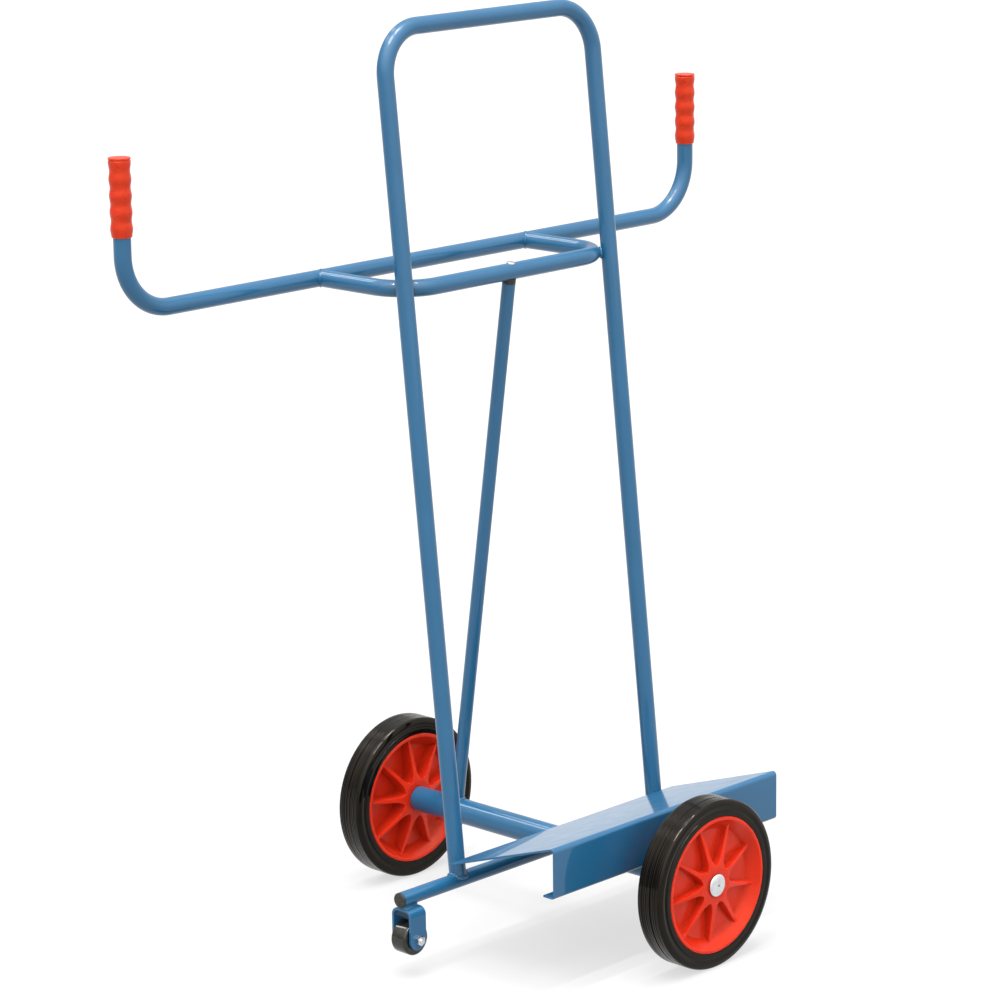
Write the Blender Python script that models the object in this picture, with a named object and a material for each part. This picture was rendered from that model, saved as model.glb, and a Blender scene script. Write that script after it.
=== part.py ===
"""Panel dolly: a two-wheeled trolley that carries boards standing on edge.

X is the direction of travel, Y runs across the dolly with the load leaning
towards +Y, and Z is up. The origin is on the floor under the middle of the
axle. All sizes are in metres.
"""
import math

import bmesh
import bpy
from mathutils import Matrix, Vector

# Overall sizes
OVERALL_HEIGHT = 1.350
HANDLE_SPAN = 1.168            # between the centre lines of the two upright ends
WHEEL_TRACK = 0.610            # between the middle planes of the two wheels
OUTRIGGER_OFFSET = 0.018       # from the axle's middle forward to the outriggers' line

# Clearances
GAP = 0.0003                   # between pieces that touch or are welded together
NEST_GAP = 0.0005              # between the leaning hoop legs and the bracket's bends
SIDE_PLAY = 0.0012             # on each side of a caster roller

# Tubes
FRAME_TUBE = 0.025             # hoop, bracket and handle bar
FRAME_WALL = 0.002
STAY_TUBE = 0.020
STAY_WALL = 0.002
OUTRIGGER_TUBE = 0.022
OUTRIGGER_WALL = 0.002
AXLE_TUBE = 0.038
AXLE_TUBE_WALL = 0.003
TUBE_SIDES = 16
BEND_STEPS = 5
FOLD_STEPS = 3                 # facets round a fold in sheet or bar
EDGE_STEPS = 2                 # facets round an edge of a turned piece

# Hoop that the load leans on
HOOP_WIDTH = 0.4288            # between the centre lines of the two legs
HOOP_BEND = 0.068              # centre line radius of the two upper corners
HOOP_LEAN = math.radians(5.85)

# Handle bar, its bracket and its grips
HANDLE_HEIGHT = 0.971          # centre line of the bar and of the bracket
HANDLE_SETBACK = 0.261         # from the outriggers' line back to the bar
HANDLE_BEND = 0.080
GRIP_RISE = 0.217              # from the bar's centre line up to the tops of the grips
GRIP_LENGTH = 0.110
GRIP_WALL = 0.0013             # at the bottom of the finger hollows
GRIP_HOLLOW = 0.0014           # depth of the finger hollows
GRIP_SWELLS = 5
GRIP_HEAD = 0.007              # from the uppermost swell to the top
GRIP_EDGE = 0.0015
GRIP_END = 0.003               # thickness of the closed end

# Rear stay
STAY_INSET = 0.0774            # from the rear end of the axle tube to the foot of the stay
STAY_PLUG_RIM = 0.005
PLUG_DEPTH = 0.014
STAY_BOLT = 0.008
STAY_BOLT_HEAD = 0.0125
STAY_BOLT_HEAD_HEIGHT = 0.002
STAY_BOLT_GRIP = 0.012         # length of bolt held in the stay's plug

# Folded load channel
CHANNEL_LENGTH = 0.485
CHANNEL_SETBACK = 0.0697       # from the front wheel's middle plane to the upright wall
CHANNEL_WALL = 0.0763          # height of the upright wall
CHANNEL_LIP = 0.022
CHANNEL_SHEET = 0.003
CHANNEL_BEND = 0.006           # outside radius of the folds
PLATE_REAR_RISE = 0.0068       # from the axle tube up to the sloping plate's rear edge

# Axle
AXLE = 0.020
AXLE_CHAMFER = 0.0015
COLLAR_LENGTH = 0.025

# Wheels
WHEEL_DIAMETER = 0.250
TREAD_WIDTH = 0.035
TYRE_WIDTH = 0.0456
TYRE_DEPTH = 0.0243            # from the tread to the rim
TYRE_BEAD = 0.0062             # height of the raised ring beside the rim
TYRE_STEP = 0.0014             # how far that ring stands out
TYRE_SHOULDER = 0.009          # height of the rounded shoulder
TYRE_STEPS = 40
RIM_WIDTH = 0.0464
RIM_GROOVE_DEPTH = 0.0055      # seat of the tyre's foot
RIM_GROOVE_WIDTH = 0.028
RIM_STEPS = 32
RIM_LIP = 0.0045               # flat edge beside the tyre
RIM_WALL = 0.0162              # how far the sloping wall runs in to the floor
RIM_FLOOR_DEPTH = 0.018        # from the rim's outer edge to its floor
RIM_FLOOR = 0.005              # thickness of the floor
RIB_COUNT = 9
RIB_TURN = math.radians(16.5)  # of the first rib from straight up
RIB_ROOT = 0.0090              # half thickness inside the hub
RIB_WAIST = 0.0041             # half thickness where the flare at the hub ends
RIB_TIP = 0.0022               # half thickness at the outer end
RIB_FLARE = 0.011              # length of the flare at the hub
RIB_DRAFT = 0.82               # thickness of the crest over that of the foot
RIB_END = 0.53                 # height at the outer end over that at the hub
HUB_DIAMETER = 0.050
HUB_OUTER = 0.020              # from the wheel's middle plane to the hub's outer face
HUB_INNER = 0.026
BUSH_WALL = 0.0027
BUSH_INSET = 0.0005
WASHER = 0.030
OUTER_WASHER = 0.0015
INNER_WASHER = 0.002
CAP_DIAMETER = 0.033
CAP_EDGE = 0.0009
CAP_CROWN = 0.0036
CAP_SHEET = 0.0011
CAP_DIMPLE = 0.0035            # radius of the dimple in the middle
DOME_STEPS = 3
ROUND_STEPS = 16

# Outriggers and their casters
OUTRIGGER_REACH = 0.335        # from the axle to the face of the end plug
OUTRIGGER_PLUG_RIM = 0.003
CASTER_INSET = 0.0192          # from the face of the end plug to the caster's middle
CASTER_DROP = 0.060            # from the outrigger's centre line to the roller's axle
ROLLER_DIAMETER = 0.048
ROLLER_WIDTH = 0.028
ROLLER_EDGE = 0.003
FORK_WIDTH = 0.031
FORK_SHEET = 0.004
FORK_BEND = 0.011
FORK_TIP_STEPS = 5
FORK_TIP_TURN = math.radians(80)  # the round tip ends in a short flat
SLEEVE = 0.012
CASTER_BOLT = 0.008
BOLT_ACROSS_FLATS = 0.013
BOLT_HEAD_HEIGHT = 0.0053
NUT_HEIGHT = 0.0065
BOLT_END = 0.002               # bolt showing past the nut

# Places that follow from the sizes above
AXLE_HEIGHT = WHEEL_DIAMETER / 2
OUTRIGGER_HEIGHT = AXLE_HEIGHT - AXLE_TUBE / 2 + OUTRIGGER_TUBE / 2
AXLE_TUBE_HALF = WHEEL_TRACK / 2 - HUB_INNER - INNER_WASHER - 2 * GAP
BEAM_Y = -OUTRIGGER_OFFSET
HANDLE_Y = BEAM_Y + HANDLE_SETBACK
CHANNEL_Y = CHANNEL_SETBACK - WHEEL_TRACK / 2
GRIP_TOP = HANDLE_HEIGHT + GRIP_RISE
LEG_Y_AT_BRACKET = BEAM_Y + (HANDLE_HEIGHT - OUTRIGGER_HEIGHT) * math.tan(HOOP_LEAN)
BRACKET_BEND = (FRAME_TUBE + NEST_GAP) / (math.sqrt(2) - 1)
RIM_RADIUS = WHEEL_DIAMETER / 2 - TYRE_DEPTH
RIM_FLOOR_RADIUS = RIM_RADIUS - RIM_LIP - RIM_WALL
CASTER_REACH = OUTRIGGER_REACH - CASTER_INSET
FORK_INSIDE = ROLLER_WIDTH + 2 * SIDE_PLAY
FORK_OUTSIDE = FORK_INSIDE + 2 * FORK_SHEET
WHEEL_SIDES = {"front": -1, "rear": 1}
CASTER_SIDES = {"left": -1, "right": 1}

# Colour, roughness and metallic value of each finish
BLUE_COAT = ((0.055, 0.180, 0.345), 0.35, 0.0)
RED_PLASTIC = ((0.830, 0.060, 0.025), 0.40, 0.0)
BLACK_RUBBER = ((0.012, 0.012, 0.011), 0.55, 0.0)
BLACK_PLASTIC = ((0.015, 0.015, 0.014), 0.45, 0.0)
BRIGHT_ZINC = ((0.720, 0.730, 0.740), 0.30, 1.0)
GREY_STEEL = ((0.420, 0.430, 0.440), 0.40, 1.0)
WHITE_NYLON = ((0.780, 0.770, 0.720), 0.50, 0.0)


def clear_scene():
    for old in list(bpy.data.objects):
        bpy.data.objects.remove(old, do_unlink=True)


def make_material(name, finish):
    colour, roughness, metallic = finish
    material = bpy.data.materials.new(name)
    material.use_nodes = True
    shader = material.node_tree.nodes["Principled BSDF"]
    shader.inputs["Base Color"].default_value = (*colour, 1.0)
    shader.inputs["Roughness"].default_value = roughness
    shader.inputs["Metallic"].default_value = metallic
    return material


def add_object(name, mesh, finish, place=Matrix(), parent=None):
    """A named piece with its own material, placed in the world or under a parent."""
    piece = bpy.data.objects.new(name, mesh)
    bpy.context.collection.objects.link(piece)
    piece.parent = parent
    piece.matrix_local = place
    mesh.materials.clear()
    mesh.materials.append(make_material(name, finish))
    return piece


def add_empty(name, place):
    empty = bpy.data.objects.new(name, None)
    bpy.context.collection.objects.link(empty)
    empty.matrix_local = place
    return empty


def mesh_from(name, form):
    mesh = bpy.data.meshes.new(name)
    form.to_mesh(mesh)
    form.free()
    mesh.shade_smooth()
    mesh.set_sharp_from_angle(angle=math.radians(32))
    return mesh


def clear_radius(radius, sides):
    """Corner radius of a faceted bore that keeps GAP to a shaft of this radius."""
    return (radius + GAP) / math.cos(math.pi / sides)


def bore_radius(diameter, wall):
    """Radius of the largest rod that passes GAP clear down one of the faceted tubes."""
    return diameter / 2 * math.cos(math.pi / TUBE_SIDES) - wall - GAP


def bent_path(corners, radius, steps):
    """Points and directions along straight runs that are joined by arcs."""
    path = [(corners[0], (corners[1] - corners[0]).normalized())]
    for before, corner, after in zip(corners, corners[1:], corners[2:]):
        inward = (corner - before).normalized()
        outward = (after - corner).normalized()
        turn = inward.angle(outward)
        start = corner - inward * radius * math.tan(turn / 2)
        side = (outward - inward * inward.dot(outward)).normalized()
        centre = start + side * radius
        for step in range(steps + 1):
            angle = turn * step / steps
            direction = inward * math.cos(angle) + side * math.sin(angle)
            arm = inward * math.sin(angle) - side * math.cos(angle)
            path.append((centre + arm * radius, direction))
    path.append((corners[-1], (corners[-1] - corners[-2]).normalized()))
    return path


def join_loops(form, loops, ring):
    """Faces between loops of equally many vertices, closed as a ring or by end caps."""
    pairs = list(zip(loops, loops[1:]))
    if ring:
        pairs.append((loops[-1], loops[0]))
    for lower, upper in pairs:
        for i in range(len(lower)):
            j = (i + 1) % len(lower)
            form.faces.new((lower[i], lower[j], upper[j], upper[i]))


def loft_mesh(name, loops, ring=False):
    """A closed body through loops of points."""
    form = bmesh.new()
    rows = [[form.verts.new(point) for point in loop] for loop in loops]
    join_loops(form, rows, ring)
    if not ring:
        form.faces.new(reversed(rows[0]))
        form.faces.new(rows[-1])
    bmesh.ops.recalc_face_normals(form, faces=form.faces)
    return mesh_from(name, form)


def circle(radius, height, sides):
    """Points of a circle about Z, with one of them on the -Y side."""
    angles = [2 * math.pi * i / sides - math.pi / 2 for i in range(sides)]
    return [Vector((radius * math.cos(a), radius * math.sin(a), height)) for a in angles]


def hexagon(across_flats, height):
    """A hexagon about Z, given twelve points so that it joins a twelve-sided circle."""
    points = []
    for i in range(12):
        radius = across_flats / 2 if i % 2 else across_flats / math.sqrt(3)
        points.append(circle(radius, height, 12)[i])
    return points


def rounded(radius, height, depth, width, steps):
    """Points of a rounded corner, from (radius - depth, height) to (radius, height - width)."""
    angles = [math.pi / 2 * i / steps for i in range(steps + 1)]
    return [
        (radius - depth * (1 - math.sin(angle)), height - width * (1 - math.cos(angle)))
        for angle in angles
    ]


def mirrored(half_profile):
    """A whole profile from the half above the middle plane."""
    return half_profile + [(radius, -height) for radius, height in reversed(half_profile)]


def lathe_mesh(name, profile, sides, ring=False):
    """A body turned about Z from (radius, height) points."""
    return loft_mesh(name, [circle(r, h, sides) for r, h in profile], ring)


def sleeve_mesh(name, inner, outer, low, high, sides):
    profile = ((inner, low), (outer, low), (outer, high), (inner, high))
    return lathe_mesh(name, profile, sides, ring=True)


def shell(piece, thickness):
    """Give an open surface its wall, on the inner side."""
    solidify = piece.modifiers.new("wall", "SOLIDIFY")
    solidify.thickness = thickness
    solidify.offset = -1.0
    solidify.use_even_offset = True


def combine(piece, other, operation):
    """Cut the other object from the piece, or unite them, and hide the other one."""
    boolean = piece.modifiers.new(other.name, "BOOLEAN")
    boolean.operation = operation
    boolean.solver = "EXACT"
    boolean.object = other
    other.hide_render = True
    other.display_type = "WIRE"


def baked_mesh(piece):
    """The piece's mesh with its modifiers worked in."""
    graph = bpy.context.evaluated_depsgraph_get()
    return bpy.data.meshes.new_from_object(piece.evaluated_get(graph))


def cutting_rod(name, radius, start, end):
    """A faceted rod that stays GAP clear of a round of this radius all the way round."""
    along = end - start
    corner = clear_radius(radius, TUBE_SIDES)
    mesh = lathe_mesh(name, ((corner, 0.0), (corner, along.length)), TUBE_SIDES)
    turn = along.to_track_quat("Z", "Y").to_matrix().to_4x4()
    rod = add_object(name, mesh, GREY_STEEL, Matrix.Translation(start) @ turn)
    rod.hide_render = True
    rod.display_type = "WIRE"
    return rod


def add_tube(name, path, diameter, wall, plane, finish, place=Matrix()):
    """A hollow tube along a flat path; plane is the normal of the path's plane."""
    form = bmesh.new()
    rows = []
    for point, direction in path:
        across = plane.cross(direction)
        row = []
        for i in range(TUBE_SIDES):
            angle = 2 * math.pi * i / TUBE_SIDES
            offset = across * math.cos(angle) + plane * math.sin(angle)
            row.append(form.verts.new(point + offset * diameter / 2))
        rows.append(row)
    join_loops(form, rows, ring=False)
    tube = add_object(name, mesh_from(name, form), finish, place)
    shell(tube, wall)
    return tube


def add_strip(name, path, half_widths, sheet, finish, place=Matrix()):
    """Folded sheet: path is its outer side in the YZ plane, and X is its width."""
    form = bmesh.new()
    rows = []
    for (point, _), half in zip(path, half_widths):
        shift = Vector((half, 0.0, 0.0))
        rows.append((form.verts.new(point - shift), form.verts.new(point + shift)))
    for (a, b), (c, d) in zip(rows, rows[1:]):
        form.faces.new((a, b, d, c))
    strip = add_object(name, mesh_from(name, form), finish, place)
    shell(strip, sheet)
    return strip


def build_hoop(outrigger_cut):
    """Bent tube that stands on the outriggers and leans back with the load."""
    half = HOOP_WIDTH / 2
    foot = OUTRIGGER_TUBE / 4
    top = (OVERALL_HEIGHT - FRAME_TUBE / 2 - OUTRIGGER_HEIGHT) / math.cos(HOOP_LEAN)
    corners = [
        Vector((-half, 0.0, foot)),
        Vector((-half, 0.0, top)),
        Vector((half, 0.0, top)),
        Vector((half, 0.0, foot)),
    ]
    foot_place = Matrix.Translation((0.0, BEAM_Y, OUTRIGGER_HEIGHT))
    place = foot_place @ Matrix.Rotation(-HOOP_LEAN, 4, "X")
    path = bent_path(corners, HOOP_BEND, BEND_STEPS)
    hoop = add_tube("hoop_frame", path, FRAME_TUBE, FRAME_WALL, Vector((0, 1, 0)), BLUE_COAT, place)
    combine(hoop, outrigger_cut, "DIFFERENCE")


def build_bracket(handle_cut, bolt_cut):
    """U-shaped tube whose bends nest behind the hoop's legs and whose arms hold the handle."""
    half = HOOP_WIDTH / 2
    arm_end = HANDLE_Y - FRAME_TUBE / 4
    corners = [
        Vector((-half, arm_end, HANDLE_HEIGHT)),
        Vector((-half, LEG_Y_AT_BRACKET, HANDLE_HEIGHT)),
        Vector((half, LEG_Y_AT_BRACKET, HANDLE_HEIGHT)),
        Vector((half, arm_end, HANDLE_HEIGHT)),
    ]
    path = bent_path(corners, BRACKET_BEND, BEND_STEPS)
    bracket = add_tube("standoff_bracket", path, FRAME_TUBE, FRAME_WALL, Vector((0, 0, 1)), BLUE_COAT)
    combine(bracket, handle_cut, "DIFFERENCE")
    combine(bracket, bolt_cut, "DIFFERENCE")


def build_handle():
    """Long bar with both ends bent upright, and a ribbed grip on each end."""
    half = HANDLE_SPAN / 2
    tube_top = GRIP_TOP - GRIP_END - GAP
    corners = [
        Vector((-half, HANDLE_Y, tube_top)),
        Vector((-half, HANDLE_Y, HANDLE_HEIGHT)),
        Vector((half, HANDLE_Y, HANDLE_HEIGHT)),
        Vector((half, HANDLE_Y, tube_top)),
    ]
    path = bent_path(corners, HANDLE_BEND, BEND_STEPS)
    add_tube("handle_bar", path, FRAME_TUBE, FRAME_WALL, Vector((0, 1, 0)), BLUE_COAT)
    for side, sign in CASTER_SIDES.items():
        name = f"grip_{side}"
        place = Matrix.Translation((sign * half, HANDLE_Y, GRIP_TOP - GRIP_LENGTH))
        add_object(name, grip_mesh(name), RED_PLASTIC, place)


def grip_mesh(name):
    """A closed sleeve with finger swells, the uppermost of which rounds off its top."""
    bore = clear_radius(FRAME_TUBE / 2, TUBE_SIDES)
    hollow = bore + GRIP_WALL
    swell = hollow + GRIP_HOLLOW
    flanks = 2 * GRIP_SWELLS - 1
    spacing = (GRIP_LENGTH - GRIP_HEAD) / flanks
    profile = [(bore, GRIP_LENGTH - GRIP_END), (bore, 0.0), (hollow, 0.0)]
    for i in range(flanks):
        below, above = (swell, hollow) if i % 2 else (hollow, swell)
        middle = spacing * (i + 1 / 2)
        profile.append((below, middle - spacing / 4))
        profile.append((above, middle + spacing / 4))
    profile.append((swell, GRIP_LENGTH - GRIP_EDGE))
    profile.append((swell - GRIP_EDGE, GRIP_LENGTH))
    return lathe_mesh(name, profile, TUBE_SIDES)


def stay_frame():
    """Frame at the bracket's centre line with Z running down the stay."""
    top = Vector((0.0, LEG_Y_AT_BRACKET, HANDLE_HEIGHT))
    foot = Vector((0.0, AXLE_TUBE_HALF - STAY_INSET, AXLE_HEIGHT))
    turn = (foot - top).to_track_quat("Z", "Y").to_matrix().to_4x4()
    return Matrix.Translation(top) @ turn, (foot - top).length


def build_stay(axle_cut):
    """Slanted tube from the axle up to the bracket, bolted there through a threaded plug."""
    place, length = stay_frame()
    seat = FRAME_TUBE / 2 + GAP
    tube_top = seat + STAY_PLUG_RIM + GAP
    path = [(Vector((0, 0, tube_top)), Vector((0, 0, 1))), (Vector((0, 0, length)), Vector((0, 0, 1)))]
    stay = add_tube("rear_stay", path, STAY_TUBE, STAY_WALL, Vector((0, 1, 0)), BLUE_COAT, place)
    combine(stay, axle_cut, "DIFFERENCE")

    spigot = bore_radius(STAY_TUBE, STAY_WALL)
    bolt_bore = clear_radius(STAY_BOLT / 2, TUBE_SIDES)
    plug_profile = (
        (bolt_bore, seat),
        (STAY_TUBE / 2, seat),
        (STAY_TUBE / 2, seat + STAY_PLUG_RIM),
        (spigot, seat + STAY_PLUG_RIM),
        (spigot, seat + STAY_PLUG_RIM + PLUG_DEPTH),
        (bolt_bore, seat + STAY_PLUG_RIM + PLUG_DEPTH),
    )
    plug = lathe_mesh("stay_plug", plug_profile, TUBE_SIDES, ring=True)
    add_object("stay_plug", plug, BLACK_PLASTIC, place)

    head = STAY_BOLT_HEAD / 2
    bolt_profile = (
        (STAY_BOLT / 2, seat + STAY_BOLT_GRIP),
        (STAY_BOLT / 2, -seat),
        (head, -seat),
        (head, -seat - STAY_BOLT_HEAD_HEIGHT / 2),
        (head - STAY_BOLT_HEAD_HEIGHT / 2, -seat - STAY_BOLT_HEAD_HEIGHT),
    )
    bolt = lathe_mesh("stay_bolt", bolt_profile, TUBE_SIDES)
    add_object("stay_bolt", bolt, BRIGHT_ZINC, place)


def build_channel():
    """Sheet folded into a lip, an upright wall and a plate that slopes back to the hoop."""
    base = AXLE_HEIGHT + AXLE_TUBE / 2 + GAP
    rear_top = base + PLATE_REAR_RISE
    leg_y = BEAM_Y + (rear_top - OUTRIGGER_HEIGHT) * math.tan(HOOP_LEAN)
    rear = leg_y - FRAME_TUBE / 2 / math.cos(HOOP_LEAN) - GAP
    corners = [
        Vector((0.0, CHANNEL_Y + CHANNEL_LIP, base)),
        Vector((0.0, CHANNEL_Y, base)),
        Vector((0.0, CHANNEL_Y, base + CHANNEL_WALL)),
        Vector((0.0, rear, rear_top)),
    ]
    path = bent_path(corners, CHANNEL_BEND, FOLD_STEPS)
    widths = [CHANNEL_LENGTH / 2] * len(path)
    add_strip("load_channel", path, widths, CHANNEL_SHEET, BLUE_COAT)


def build_axle():
    """Axle tube across the dolly, with the wheels' shaft held in a collar at each end."""
    lying = Matrix.Translation((0.0, 0.0, AXLE_HEIGHT)) @ Matrix.Rotation(-math.pi / 2, 4, "X")
    ahead = Vector((0, 0, 1))
    path = [(Vector((0, 0, -AXLE_TUBE_HALF)), ahead), (Vector((0, 0, AXLE_TUBE_HALF)), ahead)]
    add_tube("axle_tube", path, AXLE_TUBE, AXLE_TUBE_WALL, Vector((0, 1, 0)), BLUE_COAT, lying)

    radius = AXLE / 2
    end = WHEEL_TRACK / 2 + HUB_OUTER + OUTER_WASHER + 2 * GAP + CAP_CROWN - CAP_SHEET - GAP
    profile = (
        (radius - AXLE_CHAMFER, -end),
        (radius, -end + AXLE_CHAMFER),
        (radius, end - AXLE_CHAMFER),
        (radius - AXLE_CHAMFER, end),
    )
    add_object("axle_shaft", lathe_mesh("axle_shaft", profile, ROUND_STEPS), GREY_STEEL, lying)

    inner = clear_radius(radius, ROUND_STEPS)
    outer = bore_radius(AXLE_TUBE, AXLE_TUBE_WALL)
    for side, sign in WHEEL_SIDES.items():
        name = f"axle_collar_{side}"
        outside = sign * AXLE_TUBE_HALF
        inside = sign * (AXLE_TUBE_HALF - COLLAR_LENGTH)
        collar = sleeve_mesh(name, inner, outer, min(inside, outside), max(inside, outside), ROUND_STEPS)
        add_object(name, collar, GREY_STEEL, lying)


def build_wheels():
    """Two equal wheels, each about an empty whose Z axis points out along the axle."""
    rim_solid = build_rim()
    for side, sign in WHEEL_SIDES.items():
        centre = Matrix.Translation((0.0, sign * WHEEL_TRACK / 2, AXLE_HEIGHT))
        hub = add_empty(f"{side}_wheel", centre @ Matrix.Rotation(-sign * math.pi / 2, 4, "X"))
        rim = rim_solid.copy()
        rim.name = f"rim_{side}"
        add_object(f"rim_{side}", rim, RED_PLASTIC, parent=hub)
        add_object(f"tyre_{side}", tyre_mesh(f"tyre_{side}"), BLACK_RUBBER, parent=hub)
        add_hub_pieces(side, hub)


def add_hub_pieces(side, hub):
    """Bush, washers and push-on cap that carry and keep one wheel on the axle."""
    bore = clear_radius(AXLE / 2, ROUND_STEPS)
    name = f"hub_bush_{side}"
    low = BUSH_INSET - HUB_INNER
    high = HUB_OUTER - BUSH_INSET
    bush = sleeve_mesh(name, bore, bore + BUSH_WALL, low, high, ROUND_STEPS)
    add_object(name, bush, WHITE_NYLON, parent=hub)

    outer_face = HUB_OUTER + GAP
    inner_face = -HUB_INNER - GAP
    washers = {
        "outer": (outer_face, outer_face + OUTER_WASHER),
        "inner": (inner_face - INNER_WASHER, inner_face),
    }
    for place, (low, high) in washers.items():
        name = f"{place}_washer_{side}"
        washer = sleeve_mesh(name, bore, WASHER / 2, low, high, ROUND_STEPS)
        add_object(name, washer, BRIGHT_ZINC, parent=hub)

    base = outer_face + OUTER_WASHER + GAP
    crown = base + CAP_CROWN
    edge = CAP_DIAMETER / 2
    dome = rounded(edge, crown, edge - CAP_DIMPLE, CAP_CROWN - CAP_EDGE, DOME_STEPS)
    profile = [(bore, crown - CAP_SHEET), (bore, base), (edge, base)]
    profile += reversed(dome)
    profile.append((CAP_DIMPLE / 2, crown - CAP_SHEET / 2))
    name = f"hub_cap_{side}"
    add_object(name, lathe_mesh(name, profile, ROUND_STEPS), BRIGHT_ZINC, parent=hub)


def build_rim():
    """Moulded rim: a dished disc with a hub and a star of tapering ribs on both faces."""
    edge = RIM_WIDTH / 2
    outer = RIM_RADIUS
    hub = HUB_DIAMETER / 2
    bore = clear_radius(clear_radius(AXLE / 2, ROUND_STEPS) + BUSH_WALL, RIM_STEPS)
    floor = edge - RIM_FLOOR_DEPTH
    back = floor - RIM_FLOOR
    lip = outer - RIM_LIP
    groove = RIM_GROOVE_WIDTH / 2
    shoulder = groove + RIM_GROOVE_DEPTH / 2
    profile = (
        (bore, HUB_OUTER),
        (bore, -HUB_INNER),
        (hub, -HUB_INNER),
        (hub, back),
        (RIM_FLOOR_RADIUS, back),
        (lip, -edge),
        (outer, -edge),
        (outer, -shoulder),
        (outer - RIM_GROOVE_DEPTH, -groove),
        (outer - RIM_GROOVE_DEPTH, groove),
        (outer, shoulder),
        (outer, edge),
        (lip, edge),
        (RIM_FLOOR_RADIUS, floor),
        (hub, floor),
        (hub, HUB_OUTER),
    )
    disc = add_object("rim_disc", lathe_mesh("rim_disc", profile, RIM_STEPS, ring=True), RED_PLASTIC)
    for face, floor_height, hub_height in (("outer", floor, HUB_OUTER), ("inner", back, -HUB_INNER)):
        name = f"{face}_ribs"
        ribs = add_object(name, rib_star_mesh(name, floor_height, hub_height), RED_PLASTIC)
        combine(disc, ribs, "UNION")
    solid = baked_mesh(disc)
    bpy.data.objects.remove(disc, do_unlink=True)
    for face in ("outer", "inner"):
        bpy.data.objects.remove(bpy.data.objects[f"{face}_ribs"], do_unlink=True)
    return solid


def rib_star_mesh(name, floor, top):
    """Ribs about Z that fall and thin out from the hub and run into the rim's sloping wall."""
    hub = HUB_DIAMETER / 2
    rise = top - floor
    wall_rise = math.copysign(RIM_WIDTH / 2, rise) - floor
    end = RIM_FLOOR_RADIUS + RIM_WALL * RIB_END * rise / wall_rise + RIM_LIP / 2
    root = hub - RIM_FLOOR
    sunk = floor - math.copysign(RIM_FLOOR / 3, rise)
    sections = []
    for radius, half in ((root, RIB_ROOT), (hub + RIB_FLARE, RIB_WAIST), (end, RIB_TIP)):
        fall = (1 - RIB_END) * (radius - root) / (end - root)
        sections.append((radius, half, floor + rise * (1 - fall) - math.copysign(GAP, rise)))
    form = bmesh.new()
    for i in range(RIB_COUNT):
        turn = Matrix.Rotation(RIB_TURN + 2 * math.pi * i / RIB_COUNT, 3, "Z")
        rows = []
        for radius, half, crest in sections:
            row = (
                Vector((-half, radius, sunk)),
                Vector((half, radius, sunk)),
                Vector((half * RIB_DRAFT, radius, crest)),
                Vector((-half * RIB_DRAFT, radius, crest)),
            )
            rows.append([form.verts.new(turn @ point) for point in row])
        join_loops(form, rows, ring=False)
        form.faces.new(rows[0])
        form.faces.new(rows[-1])
    bmesh.ops.recalc_face_normals(form, faces=form.faces)
    return mesh_from(name, form)


def tyre_mesh(name):
    """Solid rubber tyre with a stepped side wall, seated in the rim's groove."""
    outer = WHEEL_DIAMETER / 2
    wall = TYRE_WIDTH / 2
    tread = TREAD_WIDTH / 2
    side = wall - TYRE_STEP / 3
    seat = clear_radius(RIM_RADIUS, TYRE_STEPS)
    foot = seat - RIM_GROOVE_DEPTH
    groove = RIM_GROOVE_WIDTH / 2 - GAP
    half_profile = [
        (foot, groove),
        (seat, groove + RIM_GROOVE_DEPTH / 2),
        (seat, wall),
        (seat + TYRE_BEAD, wall),
        (seat + TYRE_BEAD + TYRE_STEP, wall - TYRE_STEP),
    ]
    half_profile += rounded(outer, side, TYRE_SHOULDER, side - tread, EDGE_STEPS)
    return lathe_mesh(name, mirrored(half_profile), TYRE_STEPS, ring=True)


def build_outriggers(axle_cut):
    """A tube out to each side of the axle, closed by an end plug, with a caster below."""
    tube_end = OUTRIGGER_REACH - OUTRIGGER_PLUG_RIM - GAP
    spigot = bore_radius(OUTRIGGER_TUBE, OUTRIGGER_WALL)
    ahead = Vector((0, 0, 1))
    for side, sign in CASTER_SIDES.items():
        start = Matrix.Translation((0.0, BEAM_Y, OUTRIGGER_HEIGHT))
        lying = start @ Matrix.Rotation(sign * math.pi / 2, 4, "Y")
        path = [(Vector((0, 0, AXLE_TUBE / 4)), ahead), (Vector((0, 0, tube_end)), ahead)]
        name = f"outrigger_{side}"
        tube = add_tube(name, path, OUTRIGGER_TUBE, OUTRIGGER_WALL, Vector((0, 1, 0)), BLUE_COAT, lying)
        combine(tube, axle_cut, "DIFFERENCE")

        profile = (
            (spigot, tube_end - PLUG_DEPTH),
            (spigot, tube_end + GAP),
            (OUTRIGGER_TUBE / 2, tube_end + GAP),
            (OUTRIGGER_TUBE / 2, OUTRIGGER_REACH - OUTRIGGER_PLUG_RIM / 3),
            (OUTRIGGER_TUBE / 2 - OUTRIGGER_PLUG_RIM / 3, OUTRIGGER_REACH),
        )
        name = f"outrigger_plug_{side}"
        add_object(name, lathe_mesh(name, profile, TUBE_SIDES), BLACK_PLASTIC, lying)
        build_caster(side, sign)


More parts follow.
